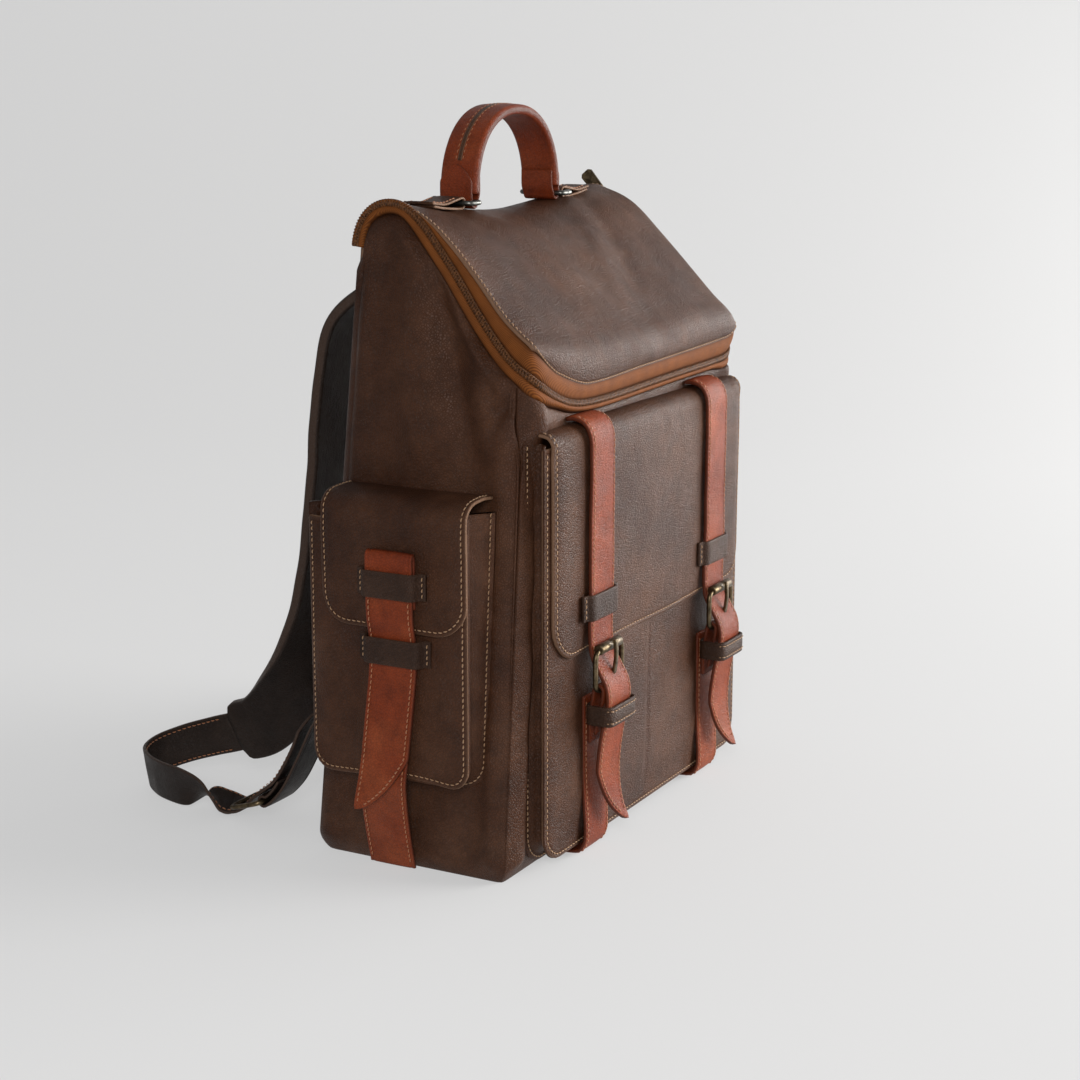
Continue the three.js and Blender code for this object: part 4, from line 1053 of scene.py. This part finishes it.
def lid_tape():
    """The upper zip tape, from the chain to under the lid's edge."""
    ring = LID.border(2.2, skip="end")
    a, s = resample(np.column_stack([ring, np.zeros(len(ring))]), 1.0)[:, :2].T
    border = lid_surface(a, s) - normals_of(lid_surface, a, s) * 1.6
    nearest = np.array([int(np.argmin(np.linalg.norm(border - p, axis=1))) for p in zip_at(0 * ZIP_ALONG,
        9 + 0 * ZIP_ALONG)])
    nearest = np.maximum.accumulate(nearest)
    steady = softened(np.column_stack([nearest] * 3).astype(float), 12)[:, 0]
    edge = np.stack([np.interp(steady, range(len(border)), border[:, k]) for k in range(3)], axis=1)
    near = zip_at(0 * ZIP_ALONG + 0.1, 0 * ZIP_ALONG + 2.0)
    bow = unit(ZIP_OUT + 0.6 * ZIP_UP)
    outer, inner = [], []
    for t in np.linspace(0, 1, 8):
        middle = near + (edge - near) * t + bow * (2.3 * math.sin(math.pi * t) ** 0.8)
        outer.append(middle)
        inner.append(middle - bow * 0.9)
    rings = np.stack(outer + inner[::-1], axis=1)
    # painted shade on the lid's zip tape: darker beside the chain, where it tucks under the lid's edge, and
    # all along its underside
    rim = [0.9, 0.1, 0, 0, 0, 0.15, 0.6, 1.0] + [1.0] * 8
    sweep("zip_tape_lid_cloth", rings, TAPE, "lid", ["zip_tape_lid"], rim=rim)


lid_tape()


# ---- the carrying handle ----
def handle_line(grow=0.0, foot=421.0, count=60):
    angle = np.linspace(math.pi, 0, count)
    cosine, sine = np.cos(angle), np.sin(angle)
    x = (55 + grow) * np.sign(cosine) * np.abs(cosine) ** 0.9
    z = foot + (473.5 - foot + grow) * np.maximum(sine, 0) ** 0.95
    return np.column_stack([x, 0 * x + HANDLE_Y, z])


HANDLE = Strap(handle_line(), Y, smooth_path=False)
# the folded ends stand upright in the rings and rise into the handle above them; this gives the lid and
# handle bodies with a point on each, and a piece given it is left unattached
HANDLE_BEND = ("lid", "handle", (0, HANDLE_Y * MM, 0.4195), (0, HANDLE_Y * MM, 0.4330))
belt(
    "handle_leather", HANDLE, 28, 6.2, TAN, "handle", ["handle_strap"], seam=0, radius=2.8, crown=0.9,
    outer=-1,
)
spine = np.arange(20, HANDLE.length - 20, 1.0)
for label, offset in (("a", -2.6), ("b", 2.6)):
    handle_seam = HANDLE.at(spine, 0 * spine + offset, 0 * spine - 3.9)
    stitches(
        f"handle_seam_{label}", handle_seam, -HANDLE.up(spine), "handle", TAN_THREAD, pitch=4.2,
        radius=0.3, lift=-0.05,
    )
joint_line = Strap(HANDLE.at(spine, 0 * spine, 0 * spine - 3.85), Y, smooth_path=False)
belt("handle_joint", joint_line, 3.4, 0.5, BROWN, "handle", seam=0, radius=0.22, crown=0.1, outer=-1)

for side_name, side in SIDES.items():
    angle = np.radians(np.arange(0, 360, 7.5))
    corner = 0.35
    rect = np.column_stack([
        side * RING_X + 7 * np.sign(np.cos(angle)) * np.abs(np.cos(angle)) ** corner,
        HANDLE_Y + 16.5 * np.sign(np.sin(angle)) * np.abs(np.sin(angle)) ** corner,
        0 * angle + RING_Z,
    ])
    wire(f"ring_{side_name}", rect, 1.7, STEEL, "lid", [f"handle_ring_{side_name}"])

    def around(bar_x, radius, angles):
        turn = np.radians(angles)
        return np.column_stack([
            bar_x + side * radius * np.cos(turn), 0 * turn + HANDLE_Y, RING_Z + radius * np.sin(turn),
        ])

    inner_bar = side * (RING_X - 7)
    foot = side * 55
    end_path = np.vstack([
        [[foot - side * 5.3, HANDLE_Y, 431.5], [foot - side * 5.0, HANDLE_Y, 420]],
        around(inner_bar, 3.6, [180, 215, 245, 270, 295, 325, 360]),
        [[foot + side * 5.0, HANDLE_Y, 422], [foot + side * 4.8, HANDLE_Y, 431],
            [foot + side * 4.2, HANDLE_Y, 440]],
    ])
    end = Strap(end_path, Y * side)
    end_edges = tapered(24, 24, end.length, tip=11)
    belt(
        f"handle_fold_{side_name}", end, 24, 1.9, TAN, HANDLE_BEND, [f"handle_end_{side_name}"],
        edges=end_edges, seam=0, radius=0.8, outer=-1,
    )

    outer_bar = side * (RING_X + 7)
    tab_path = np.vstack([
        [[side * 105, HANDLE_Y, 415.4], [side * 90, HANDLE_Y, 413.4]],
        around(outer_bar, 3.3, [270, 235, 205, 180, 150, 120, 90]),
        [[outer_bar + side * 7, HANDLE_Y, RING_Z + 2.4], [side * 91, HANDLE_Y, 416.0],
            [side * 107, HANDLE_Y, 417.6]],
    ])
    tab = Strap(tab_path, Y * side)
    belt(
        f"handle_keeper_{side_name}", tab, 22, 1.7, BROWN, "lid", [f"handle_tab_{side_name}"], seam=2.4,
        radius=0.8, outer=-1,
    )
    belt_seams(f"handle_keeper_seam_{side_name}", tab, 22, 1.7, "lid", ends=(tab.length * 0.62, 3), outer=-1)

for node in ("zip_slider", "zip_pull"):
    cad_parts[node].data.materials.clear()
    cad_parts[node].data.materials.append(BRASS)


# ---- the front pocket ----
def pocket_surface(a, s):
    """The pocket's front; s is height from its foot."""
    z = s
    x = a
    share = np.abs(a) / POCKET_HALF
    full = smooth((1 - share) / 0.25) * smooth(z / 50)
    place = np.stack([a, 0 * a, s], axis=-1)
    y = POCKET_FACE_Y + 0.6 - 2.2 * full * smooth((230 - z) / 160)
    y = y + 0.9 * wrinkles(place, 62,
        41) * full + 0.9 * bump(a, -8 + (z - 60) * 0.05, 2.2) * smooth((150 - z) / 60) * full
    y = y + 1.6 * smooth((share - 0.93) / 0.07)
    return np.stack([x, y, z], axis=-1)


def gusset(name, path, inward, out, profile, body, nodes, material=BROWN):
    """A bellows strip swept round a pocket's three sides; profile is (inwards, outwards)."""
    rings = []
    for depth, rise in profile:
        rings.append(path + inward * depth + out * rise)
    return sweep(name, np.stack(rings, axis=1), material, body, nodes)


def u_path(half, bottom, top, radius, to_space, spacing=2.5):
    """A U in the pocket's plane with its inward directions, as lists of 3-D points and vectors."""
    flat = rounded_line([(-half, top, 0), (-half, bottom, 0), (half, bottom, 0), (half, top, 0)],
        (radius, radius), spacing)
    ahead = tangents(flat)
    inside = np.column_stack([-ahead[:, 1], ahead[:, 0], 0 * ahead[:, 0]])
    return to_space(flat[:, 0], flat[:, 1]), to_space(inside[:, 0], inside[:, 1], vector=True), flat


def front_space(a, z, vector=False):
    return np.stack([a, 0 * a if vector else 0 * a + FRONT_Y, z], axis=-1)


FOLD = [(-0.2, 0.9), (0.6, 0.2), (5.5, 3.6), (10.4, 7.4), (5.6, 11.4), (0.8, 14.2), (-0.4, 14.0),
    (-0.6, 12.9), (4.0, 10.2), (7.6, 7.4), (4.2, 5.0), (-0.4, 2.0)]
path, inside, flat = u_path(POCKET_HALF - 0.3, POCKET_BOTTOM + 0.3, POCKET_TOP + 2, 18, front_space)
gusset("pocket_bellows", path, inside, -Y, FOLD, "bag", ["front_pocket_gusset"])
FLANGE = [(-3.6, 0.35), (-3.6, 1.5), (-2.4, 2.2), (0.2, 2.3), (1.4, 1.4), (1.2, 0.35)]
gusset("pocket_flange", path, inside, -Y, FLANGE, "bag", [])
stitches("pocket_flange_seam", path - inside * 1.3 - Y * 2.2, -Y + 0 * path, "bag", PALE_THREAD)

POCKET = Outline(POCKET_HALF, POCKET_BOTTOM, POCKET_TOP, 18, 1.5)
plate("pocket_leather", POCKET, pocket_surface, 2.4, BROWN, "bag", ["front_pocket_panel"], seam=3.0)
seam_on("pocket_seam", POCKET, pocket_surface, 3.0, "bag", skip="end")


class Bent:
    """A surface that follows a bent line, for flaps that fold over an edge."""

    def __init__(self, line, across, shape=None):
        self.line = spline(line, 1.0)
        self.along = lengths(self.line)
        self.length = self.along[-1]
        self.across = across
        self.normal = unit(np.cross(np.tile(across, (len(self.line), 1)), tangents(self.line)))
        self.shape = shape

    def __call__(self, a, s):
        s = np.clip(s, -1, self.length + 1)

        def take(values):
            return np.stack([np.interp(s, self.along, values[:, k]) for k in range(3)], axis=-1)

        extra = self.shape(a, s, self.length) if self.shape else 0 * a
        return take(self.line) + self.across * a[..., None] + take(self.normal) * extra[..., None]


def front_flap_shape(a, s, length):
    share = np.abs(a) / FLAP_HALF
    place = np.stack([a, 0 * a, s], axis=-1)
    fall = smooth((s - 12) / 20)
    droop = -1.8 * smooth((share - 0.92) / 0.08) * fall
    swell = 1.6 * (1 - share**2) * fall * smooth((length - s) / 30)
    waves = 0.8 * wrinkles(place * [1, 1, 0.45], 52, 51) * smooth(s / 25)
    lift = -0.9 * bump(np.abs(a), CLOSURE_X, 24) * smooth((s - 40) / 60)
    return droop + swell + waves + lift + 1.0 * bump(a, -20, 30) * smooth((s - length + 30) / 30)


flap_face = FLAP_FACE_Y
FLAP_SURFACE = Bent(
    [(0, FRONT_Y - 0.6, 283.0), (0, -79.5, 283.9), (0, -86.2, 282.3), (0, -90.6, 277),
            (0, flap_face + 0.3, 268),
     (0, flap_face, 250), (0, flap_face, 200), (0, flap_face, 160), (0, flap_face, FLAP_BOTTOM)],
    -X, front_flap_shape,
)
FLAP = Outline(FLAP_HALF, 0, FLAP_SURFACE.length, 1.5, 24)
# the flap and what is sewn to it get the bag and front flap bodies with a point on each below the sewn edge;
# a piece given this is left unattached
FLAP_BEND = ("bag", "front_flap", (0, -0.0775, 0.2865), (0, -0.0925, 0.2640))
plate("flap_leather", FLAP, FLAP_SURFACE, 2.6, BROWN, FLAP_BEND, ["front_flap"], seam=3.0)
seam_on("flap_seam", FLAP, FLAP_SURFACE, 3.0, FLAP_BEND, skip="start")


def strap_loop(name, origin, across, along, out, half, rise, width, body, nodes, material=DARK):
    """A leather loop over a strap, sewn down on both sides."""
    origin, across, along, out = (np.asarray(v, float) for v in (origin, across, along, out))
    flange = half + 6.5
    profile = [(-flange, 1.0), (-half - 2.6, 1.2), (-half - 1.2, rise * 0.5), (-half + 0.8, rise + 0.7),
            (-half * 0.5, rise + 1.15),
               (half * 0.5, rise + 1.15), (half - 0.8, rise + 0.7), (half + 1.2, rise * 0.5),
               (half + 2.6, 1.2), (flange, 1.0)]
    line = [origin + across * a + out * b for a, b in profile]
    loop = Strap(line, along, spacing=1.2)
    sign = 1 if loop.normal[len(loop.normal) // 2] @ out > 0 else -1
    belt(name, loop, width, 1.9, material, body, nodes, seam=0, radius=0.8, crown=0.2, outer=sign)
    for label, where in (("a", 2.2), ("b", loop.length - 2.2)):
        a = np.linspace(-width / 2 + 1.5, width / 2 - 1.5, 8)
        stitches(
            f"{name}_seam_{label}", loop.at(0 * a + where, a, 0 * a + sign * 1.0),
            sign * loop.up(0 * a + where), body, PALE_THREAD, pitch=3.4, length=2.5,
        )
    return loop


def closure(side_name, side):
    x = side * CLOSURE_X

    def at(y, z):
        return (x, y, z)

    path = [
        at(-77.2, 286.9), at(-82.5, 287.5), at(-90.2, 284.8), at(-94.6, 277.0), at(-95.2, 262),
        at(-95.0, 215), at(-94.9, 170),
        at(-94.6, 160), at(-94.7, 146), at(-95.8, 136), at(-101.5, 125), at(-106.4, 116), at(-107.8, 107),
        at(-105.6, 95),
        at(-102.4, 78), at(-100.5, 55), at(-102.5, 36), at(-108, 20),
    ]
    strap = Strap(path, X)
    edges = tapered(CLOSURE_WIDTH, CLOSURE_WIDTH, strap.length, tip=40, lean=0.86)
    belt(
        f"closure_leather_{side_name}", strap, CLOSURE_WIDTH, 2.6, TAN, FLAP_BEND,
        [f"closure_strap_{side_name}"], edges=edges, ripple=0.5, seed=60 + side, outer=-1,
    )
    belt_seams(
        f"closure_seam_{side_name}", strap, CLOSURE_WIDTH, 2.6, FLAP_BEND, edges=edges, ends=(6, 6),
        outer=-1,
    )

    strap_loop(
        f"flap_loop_leather_{side_name}", at(-92.9, 167.5), X, Z, -Y, 17.2, 3.7, 17, "front_flap",
        [f"flap_loop_{side_name}"],
    )

    angle = np.radians(np.arange(0, 360, 7.5))
    squareness = 0.38
    frame_line = np.column_stack([
        x + 18.6 * np.sign(np.cos(angle)) * np.abs(np.cos(angle)) ** squareness,
        0 * angle + BUCKLE_Y,
        (BUCKLE_BAR_Z + ROLLER_Z) / 2 + 13.5 * np.sign(np.sin(angle)) * np.abs(np.sin(angle)) ** squareness,
    ])
    wire(f"buckle_ring_{side_name}", frame_line, 1.75, BRASS, "front_flap", [f"buckle_frame_{side_name}"])

    turn = np.radians(np.arange(0, 360, 15))
    stops = [(-14.4, 2.4), (-14.4, 3.0), (-13.9, 3.4), (-0.4, 3.4), (0.0, 3.2), (0.4, 3.4), (13.9, 3.4),
        (14.4, 3.0), (14.4, 2.4)]
    rings = [
        np.column_stack([0 * turn + x + offset, BUCKLE_Y + r * np.cos(turn), ROLLER_Z + r * np.sin(turn)])
        for offset, r in stops
    ]
    sweep(f"roller_{side_name}_tube", rings, BRASS, f"roller_{side_name}", [f"buckle_roller_{side_name}"])
    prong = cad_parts[f"buckle_prong_{side_name}"]
    prong.data.materials.clear()
    prong.data.materials.append(BRASS)

    turns = np.radians([-10, 20, 50, 80, 105, 130, 160, 190])
    reach = 3.4
    wrap = [at(BUCKLE_Y + reach * math.cos(t), BUCKLE_BAR_Z + reach * math.sin(t)) for t in turns]
    tab = Strap([at(-94.0, 78), at(-94.3, 94), at(-95.6, 104), *wrap, at(-103, 106), at(-100.6, 98),
        at(-98.2, 84)], X)
    belt(
        f"buckle_tab_leather_{side_name}", tab, 30, 2.0, TAN, "front_flap", [f"buckle_tab_{side_name}"],
        seam=0, radius=0.8, outer=1,
    )

    outline = []
    for angle in np.radians(np.arange(0, 360, 6)):
        square = 0.22
        outline.append((
            x + 17.9 * math.copysign(abs(math.cos(angle)) ** square, math.cos(angle)),
            -102.2 + 9.2 * math.copysign(abs(math.sin(angle)) ** 0.45, math.sin(angle)),
            97.5,
        ))
    keeper_line = np.array(outline)
    outward = unit(np.cross(tangents(np.vstack([keeper_line[-1:], keeper_line, keeper_line[:1]]))[1:-1], Z))
    profile = [(-0.9, -6.2), (0.6, -6.5), (1.05, -6.0), (1.05, -4.5), (0.85, -4.0), (1.05, -3.5), (1.15, 0),
            (1.05, 3.5), (0.85, 4.0),
               (1.05, 4.5), (1.05, 6.0), (0.6, 6.5), (-0.9, 6.2)]
    rings = np.stack([keeper_line + outward * a + Z * b for a, b in profile], axis=1)
    sweep(
        f"keeper_leather_{side_name}", rings, DARK, "front_flap", [f"strap_keeper_{side_name}"],
        closed=True,
    )
    front = keeper_line[keeper_line[:, 1] < -102]
    order = np.argsort(front[:, 0])
    front = front[order]
    normal = unit(np.column_stack([(front[:, 0] - x) * 0.02, 0 * front[:, 0] - 1, 0 * front[:, 0]]))
    for label, dz in (("a", -4.0), ("b", 4.0)):
        stitches(
            f"keeper_seam_{side_name}_{label}", front + normal * 0.95 + Z * dz, normal, "front_flap",
            PALE_THREAD, pitch=3.6,
        )

    face = POCKET_FACE_Y - 1.9
    base = Strap([at(-72.5, 1.6), at(-80, 1.8), at(-87.6, 3.4), at(-91.4, 9.5), at(-92.0, 18),
        at(face - 1.2, 32), at(face, 60), at(face, 108)], X)
    belt(
        f"base_strap_leather_{side_name}", base, CLOSURE_WIDTH, 2.2, TAN, "bag",
        [f"front_base_strap_{side_name}"], outer=1,
    )
    belt_seams(f"base_strap_seam_{side_name}", base, CLOSURE_WIDTH, 2.2, "bag", ends=(8, 3), outer=1)


for side_name, side in SIDES.items():
    closure(side_name, side)


# ---- the side pockets ----
def side_pocket(side_name, side):
    out = X * side
    flip = -side  # keeps the across direction so that outer faces look outwards

    def space(a, z, vector=False):
        y = flip * a * -1 + (0 if vector else SIDE_MIDDLE_Y)
        x = 0 * a if vector else side * (half_width(z) + 1.0)
        return np.stack([x, y, z], axis=-1)

    path, inside, flat = u_path(SIDE_HALF - 0.5, SIDE_BOTTOM + 0.5, SIDE_TOP + 8, 14, space)
    depth = (SIDE_FACE_X - 3) - np.abs(path[:, 0])
    shares = [(-4.6, 0.02), (-4.4, 0.09), (0.4, 0.10), (5.0, 0.34), (9.0, 0.6), (4.6, 0.86), (0.2, 1.02),
            (-0.6, 0.98), (-0.6, 0.9),
              (3.6, 0.76), (6.6, 0.58), (3.4, 0.42), (-0.6, 0.2), (-2.0, 0.02)]
    rings = [path + inside * a + out * (depth * b)[:, None] for a, b in shares]
    sweep(
        f"side_bellows_{side_name}", np.stack(rings, axis=1), BROWN, "bag",
        [f"side_pocket_gusset_{side_name}"],
    )
    stitches(
        f"side_flange_seam_{side_name}", path - inside * 2.2 + out * (depth * 0.105)[:, None],
        out + 0 * path, "bag",
    )

    def panel(a, s):
        share = np.abs(a) / SIDE_HALF
        place = np.stack([a, 0 * a + side * 9, s], axis=-1)
        low = smooth((s - SIDE_BOTTOM) / 30)
        full = smooth((1 - share) / 0.3) * low
        x = SIDE_FACE_X - 1.4 + 2.6 * full * smooth((235 - s) / 120)
        x = x + 1.5 * wrinkles(place, 48, 71) * smooth((1 - share) / 0.15)
        x = x - 2.0 * bump(a * flip, -24 + (s - 130) * 0.10, 9) * bump(s, 118, 42)
        x = x - 1.0 * smooth((share - 0.92) / 0.08)
        wave = 1.8 * np.sin(a / 17.0 + 0.8) * smooth((90 - s) / 26)
        return np.stack([side * x, SIDE_MIDDLE_Y - flip * a, s + wave], axis=-1)

    outline = Outline(SIDE_HALF, SIDE_BOTTOM, SIDE_TOP, 14, 1.5)
    plate(
        f"side_pocket_leather_{side_name}", outline, panel, 2.4, BROWN, "bag",
        [f"side_pocket_panel_{side_name}"], seam=3.0,
    )
    seam_on(f"side_pocket_seam_{side_name}", outline, panel, 3.0, "bag", skip="end")

    def flap_shape(a, s, length):
        share = np.abs(a) / SIDE_FLAP_HALF
        place = np.stack([a, 0 * a + side * 9, s], axis=-1)
        waves = 1.1 * wrinkles(place, 46, 81) + 0.4 * wrinkles(place, 18, 83)
        fall = smooth((s - 26) / 24)
        curl = -2.0 * smooth((share - 0.82) / 0.18) * fall
        sag = -1.4 * bump(s, 20, 12) * (1 - share**2)
        return waves * smooth(s / 16) * 0.9 + curl + sag + 0.9 * bump(s, length, 16) * (1 - share)

    top = 245
    body = f"side_flap_{side_name}"
    middle = SIDE_MIDDLE_Y - 6.5
    surface = Bent(
        [(side * (half_width(top) + 0.6), middle, top + 0.6), (side * 170, middle, top + 1.4),
         (side * 183.5, middle, top - 0.3), (side * 191.2, middle, top - 6.6),
         (side * 193.2, middle, top - 17),
         (side * 193.3, middle, 205), (side * 193.3, middle, 180), (side * 193.0, middle, 162)],
        Y * flip, flap_shape,
    )
    outline = Outline(SIDE_FLAP_HALF, 0, surface.length, 1.5, 20)
    plate(
        f"side_flap_leather_{side_name}", outline, surface, 2.4, BROWN, body, [f"side_flap_{side_name}"],
        seam=3.0,
    )
    seam_on(f"side_flap_seam_{side_name}", outline, surface, 3.0, body, skip="start")

    strap_loop(
        f"side_flap_loop_leather_{side_name}", (side * 193.9, TUCK_Y, 192.5), Y, Z, out, 18.0, 6.2, 17,
        body, [f"side_flap_loop_{side_name}"],
    )
    strap_loop(
        f"side_pocket_loop_leather_{side_name}", (side * 190.6, TUCK_Y, 149.5), Y, Z, out, 19.0, 6.6, 17,
        "bag", [f"side_pocket_loop_{side_name}"],
    )

    def at(x, y, z):
        return (side * x, y, z)

    under, over, laid = 195.1, 198.5, 195.1
    tuck = Strap([
        at(under, TUCK_Y, 178), at(under, TUCK_Y, 204), at(under + 0.3, TUCK_Y, 209.4),
        at((under + over) / 2, TUCK_Y, 212.4),
        at(over - 0.1, TUCK_Y, 209.4), at(over, TUCK_Y, 204), at(over, TUCK_Y, 184),
        at(over - 0.6, TUCK_Y, 170),
        at(laid + 0.4, TUCK_Y, 158), at(laid + 0.1, TUCK_Y, 140), at(laid + 1.4, TUCK_Y + 2.5, 110),
        at(laid + 1.4, TUCK_Y + 8, 70), at(laid + 2.4, TUCK_Y + 15, 40),
    ], Y * flip)
    edges = tapered(TUCK_WIDTH, TUCK_WIDTH, tuck.length, tip=44, lean=0.8 * flip * side * -1)
    sign = 1 if tuck.normal[int(len(tuck.normal) * 0.8)] @ out > 0 else -1
    belt(
        f"tuck_leather_{side_name}", tuck, TUCK_WIDTH, 2.4, TAN, body, [f"tuck_strap_{side_name}"],
        edges=edges, outer=sign, ripple=0.5,
    )
    belt_seams(f"tuck_seam_{side_name}", tuck, TUCK_WIDTH, 2.4, body, edges=edges, ends=(46, 5), outer=sign)

    laid_face = SIDE_FACE_X + 2.4
    base = Strap([
        at(174.5, 10, 0.9), at(176.4, 10, 8), at(183.0, 9, 30), at(189.4, 7, 51), at(laid_face + 1.0, 5, 64),
        at(laid_face + 0.9, 3, 80),
        at(laid_face + 0.4, -2, 120), at(laid_face, TUCK_Y, 156),
    ], Y * flip)
    sign = 1 if base.normal[len(base.normal) // 2] @ out > 0 else -1
    belt(
        f"side_base_leather_{side_name}", base, TUCK_WIDTH, 2.2, TAN, "bag",
        [f"side_base_strap_{side_name}"], outer=sign,
    )
    belt_seams(f"side_base_seam_{side_name}", base, TUCK_WIDTH, 2.2, "bag", ends=(4, 3), outer=sign)


for side_name, side in SIDES.items():
    side_pocket(side_name, side)


# ---- the shoulder straps ----
def turning(start_dir, end_dir, begin, finish):
    def across(share):
        t = float(smooth((share - begin) / (finish - begin)))
        return unit(start_dir * (1 - t) + end_dir * t)
    return across


def shoulder(side_name, side):
    def at(x, y, z):
        return (side * x, y, z)

    upright = unit(np.array([side * 0.2, 0, 0.98]))
    level = X * side
    pad = Strap([
        at(56, 58, 378), at(58, 62, 366), at(62, 82, 356), at(67, 102, 338), at(71, 112, 300),
        at(75, 118, 235),
        at(80, 124, 170), at(84, 133, 118), at(88, 150, 72), at(90, 171, 47), at(90, 194, 38),
    ], turning(level, upright, 0.45, 0.95), spacing=3)
    edges = tapered(62, 45, pad.length, corner=8)
    middle = len(pad.normal) // 3
    sign = 1 if pad.normal[middle] @ Y > 0 else -1
    piece = belt(f"shoulder_pad_leather_{side_name}", pad, 62, 8.2, STRAP_DARK, "bag",
            [f"shoulder_pad_{side_name}"],
                 edges=edges, seam=4.2, dip=1.1, radius=2.6, crown=1.4, ripple=0.8, seed=91, outer=sign)
    belt_seams(
        f"shoulder_pad_seam_{side_name}", pad, 62, 8.2, "bag", edges=edges, inset=4.2, ends=(5, 6),
        outer=sign, material=TAN_THREAD, dip=1.1, crown=1.4,
    )

    strap = Strap([
        at(90.3, 196, 37.2), at(92, 214, 31.5), at(100, 234, 25), at(115, 245, 20.4), at(134, 241, 18.4),
        at(149, 223, 17.8),
        at(156, 202, 17.4), at(157, 186, 17), at(152, 175, 13), at(144.5, 166, 7.4), at(141, 156, 4.4),
        at(141, 146, 7.4),
        at(141, 134, 18.4), at(141, 126, 25.2), at(141, 117, 33), at(140, 108, 47), at(138, 101, 62),
        at(135, 96, 78),
    ], turning(upright, level, 0.47, 0.62))
    edges = tapered(30, 30, strap.length, tip=12)
    belt(
        f"shoulder_strap_leather_{side_name}", strap, 30, 2.4, STRAP_DARK, "bag",
        [f"shoulder_strap_{side_name}"], edges=edges, outer=1, ripple=0.6, seed=95,
    )
    belt_seams(f"shoulder_strap_seam_{side_name}", strap, 30, 2.4, "bag", edges=edges, ends=(8, 6))

    bar = np.array([side * 141, 126.0, 17.0])
    lean = unit(np.array([0, 26.0, -8.0]))
    angle = np.radians(np.arange(0, 360, 7.5))
    ring = bar + X * (18.6 * np.sign(np.cos(angle)) * np.abs(np.cos(angle)) ** 0.38)[:, None]
    ring = ring + lean * (13.5 + 13.5 * np.sign(np.sin(angle)) * np.abs(np.sin(angle)) ** 0.38)[:, None]
    wire(f"shoulder_ring_{side_name}", ring, 1.75, BRASS, "bag", [f"shoulder_buckle_{side_name}"])

    turns = np.radians([-110, -70, -30, 10, 50, 90, 115])
    wrap = [at(141, 126 + 3.5 * math.cos(t), 17 + 3.5 * math.sin(t)) for t in turns]
    anchor = Strap([at(141, 70, 92), at(141, 82, 80), at(141, 98, 50), at(141, 112, 26), *wrap,
        at(141, 119, 25), at(141, 113, 33)], X)
    belt(
        f"shoulder_anchor_leather_{side_name}", anchor, 30, 2.0, STRAP_DARK, "bag",
        [f"shoulder_anchor_{side_name}"], outer=-1,
    )


for side_name, side in SIDES.items():
    shoulder(side_name, side)


# ---- floor, light and camera ----
def stage_floor():
    """A pale floor that curves up behind the bag."""
    back = Vector((0.878, 0.477, 0)).normalized()
    across = Vector((-back.y, back.x, 0))
    profile = [(-14.0, 0.0), (-4.0, 0.0), (-1.0, 0.0), (1.2, 0.0)]
    for step in range(1, 13):
        angle = math.radians(90 * step / 12)
        profile.append((1.2 + 1.5 * math.sin(angle), 1.5 * (1 - math.cos(angle))))
    profile.append((2.7, 5.0))
    points, faces = [], []
    for distance, height in profile:
        for reach in (-12, 12):
            point = back * distance + across * reach
            points.append((point.x, point.y, height - 0.0002))
    for i in range(len(profile) - 1):
        faces.append((2 * i, 2 * i + 1, 2 * i + 3, 2 * i + 2))
    mesh = bpy.data.meshes.new("studio_floor")
    mesh.from_pydata(points, [], faces)
    mesh.shade_smooth()
    floor = bpy.data.objects.new("studio_floor", mesh)
    bpy.context.scene.collection.objects.link(floor)
    material = bpy.data.materials.new("studio_paper")
    material.use_nodes = True
    shader = material.node_tree.nodes["Principled BSDF"]
    shader.inputs["Base Color"].default_value = (0.24, 0.24, 0.24, 1)
    shader.inputs["Emission Color"].default_value = (1, 1, 1, 1)
    shader.inputs["Emission Strength"].default_value = 0.45
    shader.inputs["Roughness"].default_value = 0.9
    mesh.materials.append(material)


def area_light(name, place, target, size, power, colour=(1, 1, 1), tall=None):
    data = bpy.data.lights.new(name, "AREA")
    data.shape = "RECTANGLE" if tall else "DISK"
    data.size = size
    if tall:
        data.size_y = tall
    data.energy = power
    data.color = colour
    lamp = bpy.data.objects.new(name, data)
    lamp.location = place
    direction = Vector(target) - Vector(place)
    lamp.rotation_euler = direction.to_track_quat("-Z", "Y").to_euler()
    bpy.context.scene.collection.objects.link(lamp)


def camera():
    azimuth, elevation = math.radians(-61.5), math.radians(12.7)
    back = Vector((
        math.sin(azimuth) * math.cos(elevation), -math.cos(azimuth) * math.cos(elevation),
        math.sin(elevation),
    ))
    target = Vector((-0.0167, -0.0116, 0.1854))
    data = bpy.data.cameras.new("view")
    data.lens = 71.17
    data.sensor_width = 36
    data.clip_start = 0.05
    data.clip_end = 50
    lens = bpy.data.objects.new("view", data)
    lens.location = target + back * 1.46
    lens.rotation_euler = (-back).to_track_quat("-Z", "Y").to_euler()
    bpy.context.scene.collection.objects.link(lens)
    bpy.context.scene.camera = lens


stage_floor()
world = bpy.data.worlds.new("studio")
world.use_nodes = True
world.node_tree.nodes["Background"].inputs["Color"].default_value = (1, 1, 1, 1)
world.node_tree.nodes["Background"].inputs["Strength"].default_value = 0.25
bpy.context.scene.world = world
bpy.context.scene.view_settings.view_transform = "Standard"
area_light("key", (1.3, -2.3, 0.85), (0, 0, 0.2), 1.7, 105, (1.0, 0.985, 0.965))
area_light("window", (2.3, -1.25, 0.55), (0, 0, 0.25), 1.7, 60, (1.0, 0.985, 0.965), tall=1.0)
area_light("strip", (-1.9, -1.0, 1.0), (0, 0, 0.3), 0.5, 28, tall=0.9)
camera()
